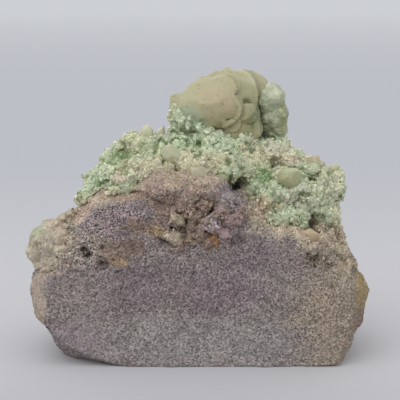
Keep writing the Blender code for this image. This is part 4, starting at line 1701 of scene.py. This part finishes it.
# %% Attach the main pieces and hide their nodes
MAIN_PIECES = (
    (rock, ["matrix"], "mauve_rock"),
    (grit, [], "mauve_rock"),
    (crust, ["green_crust"], "mint_crust"),
    (crust_crystals, [], "mint_crust"),
    (crust_prisms, [], "mint_crust"),
    (hem_crystals, [], "mint_crust"),
    (mass, ["pollucite_knob"], "cream_crystal"),
    (pale_lump, ["pale_lump"], "pale_lump"),
    (left_cluster, ["left_cluster"], "pale_lump"),
    (hollow, ["hollow_crystals"], "violet_crystal"),
    (hollow_gems, [], "violet_crystal"),
)
for piece, stands_for, slot in MAIN_PIECES:
    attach(piece, "root")
    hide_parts(*stands_for)
GROWN = (grit, crust_crystals, crust_prisms, hem_crystals, hollow_gems)
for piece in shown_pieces():
    if piece in GROWN:
        piece.data.shade_flat()
    else:
        piece.data.shade_smooth()
for model in sugar_models + prism_models + flake_models:
    bpy.data.objects.remove(model)
triangles = {
    piece.name: sum(len(face.vertices) - 2 for face in piece.data.polygons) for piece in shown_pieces()
}
print("triangles:", triangles, "in all", sum(triangles.values()))

# %% [markdown]
# ## Floor
# The photo has a plain bluish-grey ground that runs up past the picture's edge. A bent sheet of paper
# would show its curve from the side, so this is one flat floor, large enough that its far edge stays
# out of the picture. Its colour carries painted light that changes with depth: darker in front,
# where the real paper gets less light, lighter round the specimen, and lighter again far behind it.

# %% Floor
FLOOR_REACH = 16.0
# Painted light on the floor: its colour at each depth, in millimetres.
PAINTED_FLOOR_STOPS = (
    (-130.0, (174, 174, 177)),
    (-10.0, (197, 197, 200)),
    (420.0, (185, 187, 193)),
    (4500.0, (203, 206, 210)),
)
FLOOR_LIGHT = 0.92


def floor_finish():
    """Pale paper with painted light: darker in front, lighter round and far behind the specimen."""
    finish = Finish("pale_floor")
    depth = finish.node("ShaderNodeSeparateXYZ", {}, {0: finish.place}, "Y")
    colour = (*seen(*PAINTED_FLOOR_STOPS[0][1], FLOOR_LIGHT), 1)
    for (near, _), (far, tone) in zip(PAINTED_FLOOR_STOPS, PAINTED_FLOOR_STOPS[1:]):
        further = (*seen(*tone, FLOOR_LIGHT), 1)
        colour = finish.blend(finish.ramp(depth, near, far), colour, further)
    paper = finish.clouds(3.0)
    colour = finish.scaled(colour, 0.99 + 0.02 * paper)
    return finish.surface(colour, 0.9, paper, 0.02)


floor_mesh = bpy.data.meshes.new("floor")
corners = [(-FLOOR_REACH, -FLOOR_REACH, 0), (FLOOR_REACH, -FLOOR_REACH, 0)]
corners += [(FLOOR_REACH, FLOOR_REACH, 0), (-FLOOR_REACH, FLOOR_REACH, 0)]
floor_mesh.from_pydata(corners, [], [(0, 1, 2, 3)])
floor = new_object("floor", floor_mesh)
floor_mesh.materials.append(floor_finish())

# %% [markdown]
# ## Light
# The photo's light is even and nearly without shadows, from a big soft source above. One area lamp
# would leave the sides dark, so a bright sky does most of it. A very wide sun from above adds the
# soft shade under the lobes, and a small panel from the upper left gives the waxy crystals a gloss.
# The panel's size and place are in metres.

# %% Light
SKY_COLOUR = (0.87, 0.87, 0.89)
SKY_STRENGTH = 0.90
SUN_STRENGTH = 0.45
SUN_SPREAD = math.radians(60)
SUN_TURN = (math.radians(24), math.radians(-21), 0)
PANEL_POWER = 0.6
PANEL_SIZE = 0.35
PANEL_PLACE = (-0.25, -0.45, 0.62)

world = bpy.data.worlds.new("sky")
world.use_nodes = True
sky = world.node_tree.nodes["Background"]
sky.inputs["Color"].default_value = (*SKY_COLOUR, 1)
sky.inputs["Strength"].default_value = SKY_STRENGTH
scene.world = world

sun_light = bpy.data.lights.new("overhead", "SUN")
sun_light.energy = SUN_STRENGTH
sun_light.angle = SUN_SPREAD
sun = bpy.data.objects.new("overhead", sun_light)
sun.rotation_euler = SUN_TURN
scene.collection.objects.link(sun)

panel_light = bpy.data.lights.new("panel", "AREA")
panel_light.energy = PANEL_POWER
panel_light.size = PANEL_SIZE
panel = bpy.data.objects.new("panel", panel_light)
panel.location = PANEL_PLACE
toward = Vector(TARGET * MM) - Vector(PANEL_PLACE)
panel.rotation_euler = toward.to_track_quat("-Z", "Y").to_euler()
scene.collection.objects.link(panel)

print("sky", SKY_STRENGTH, "sun", SUN_STRENGTH, "panel", PANEL_POWER, "watts")
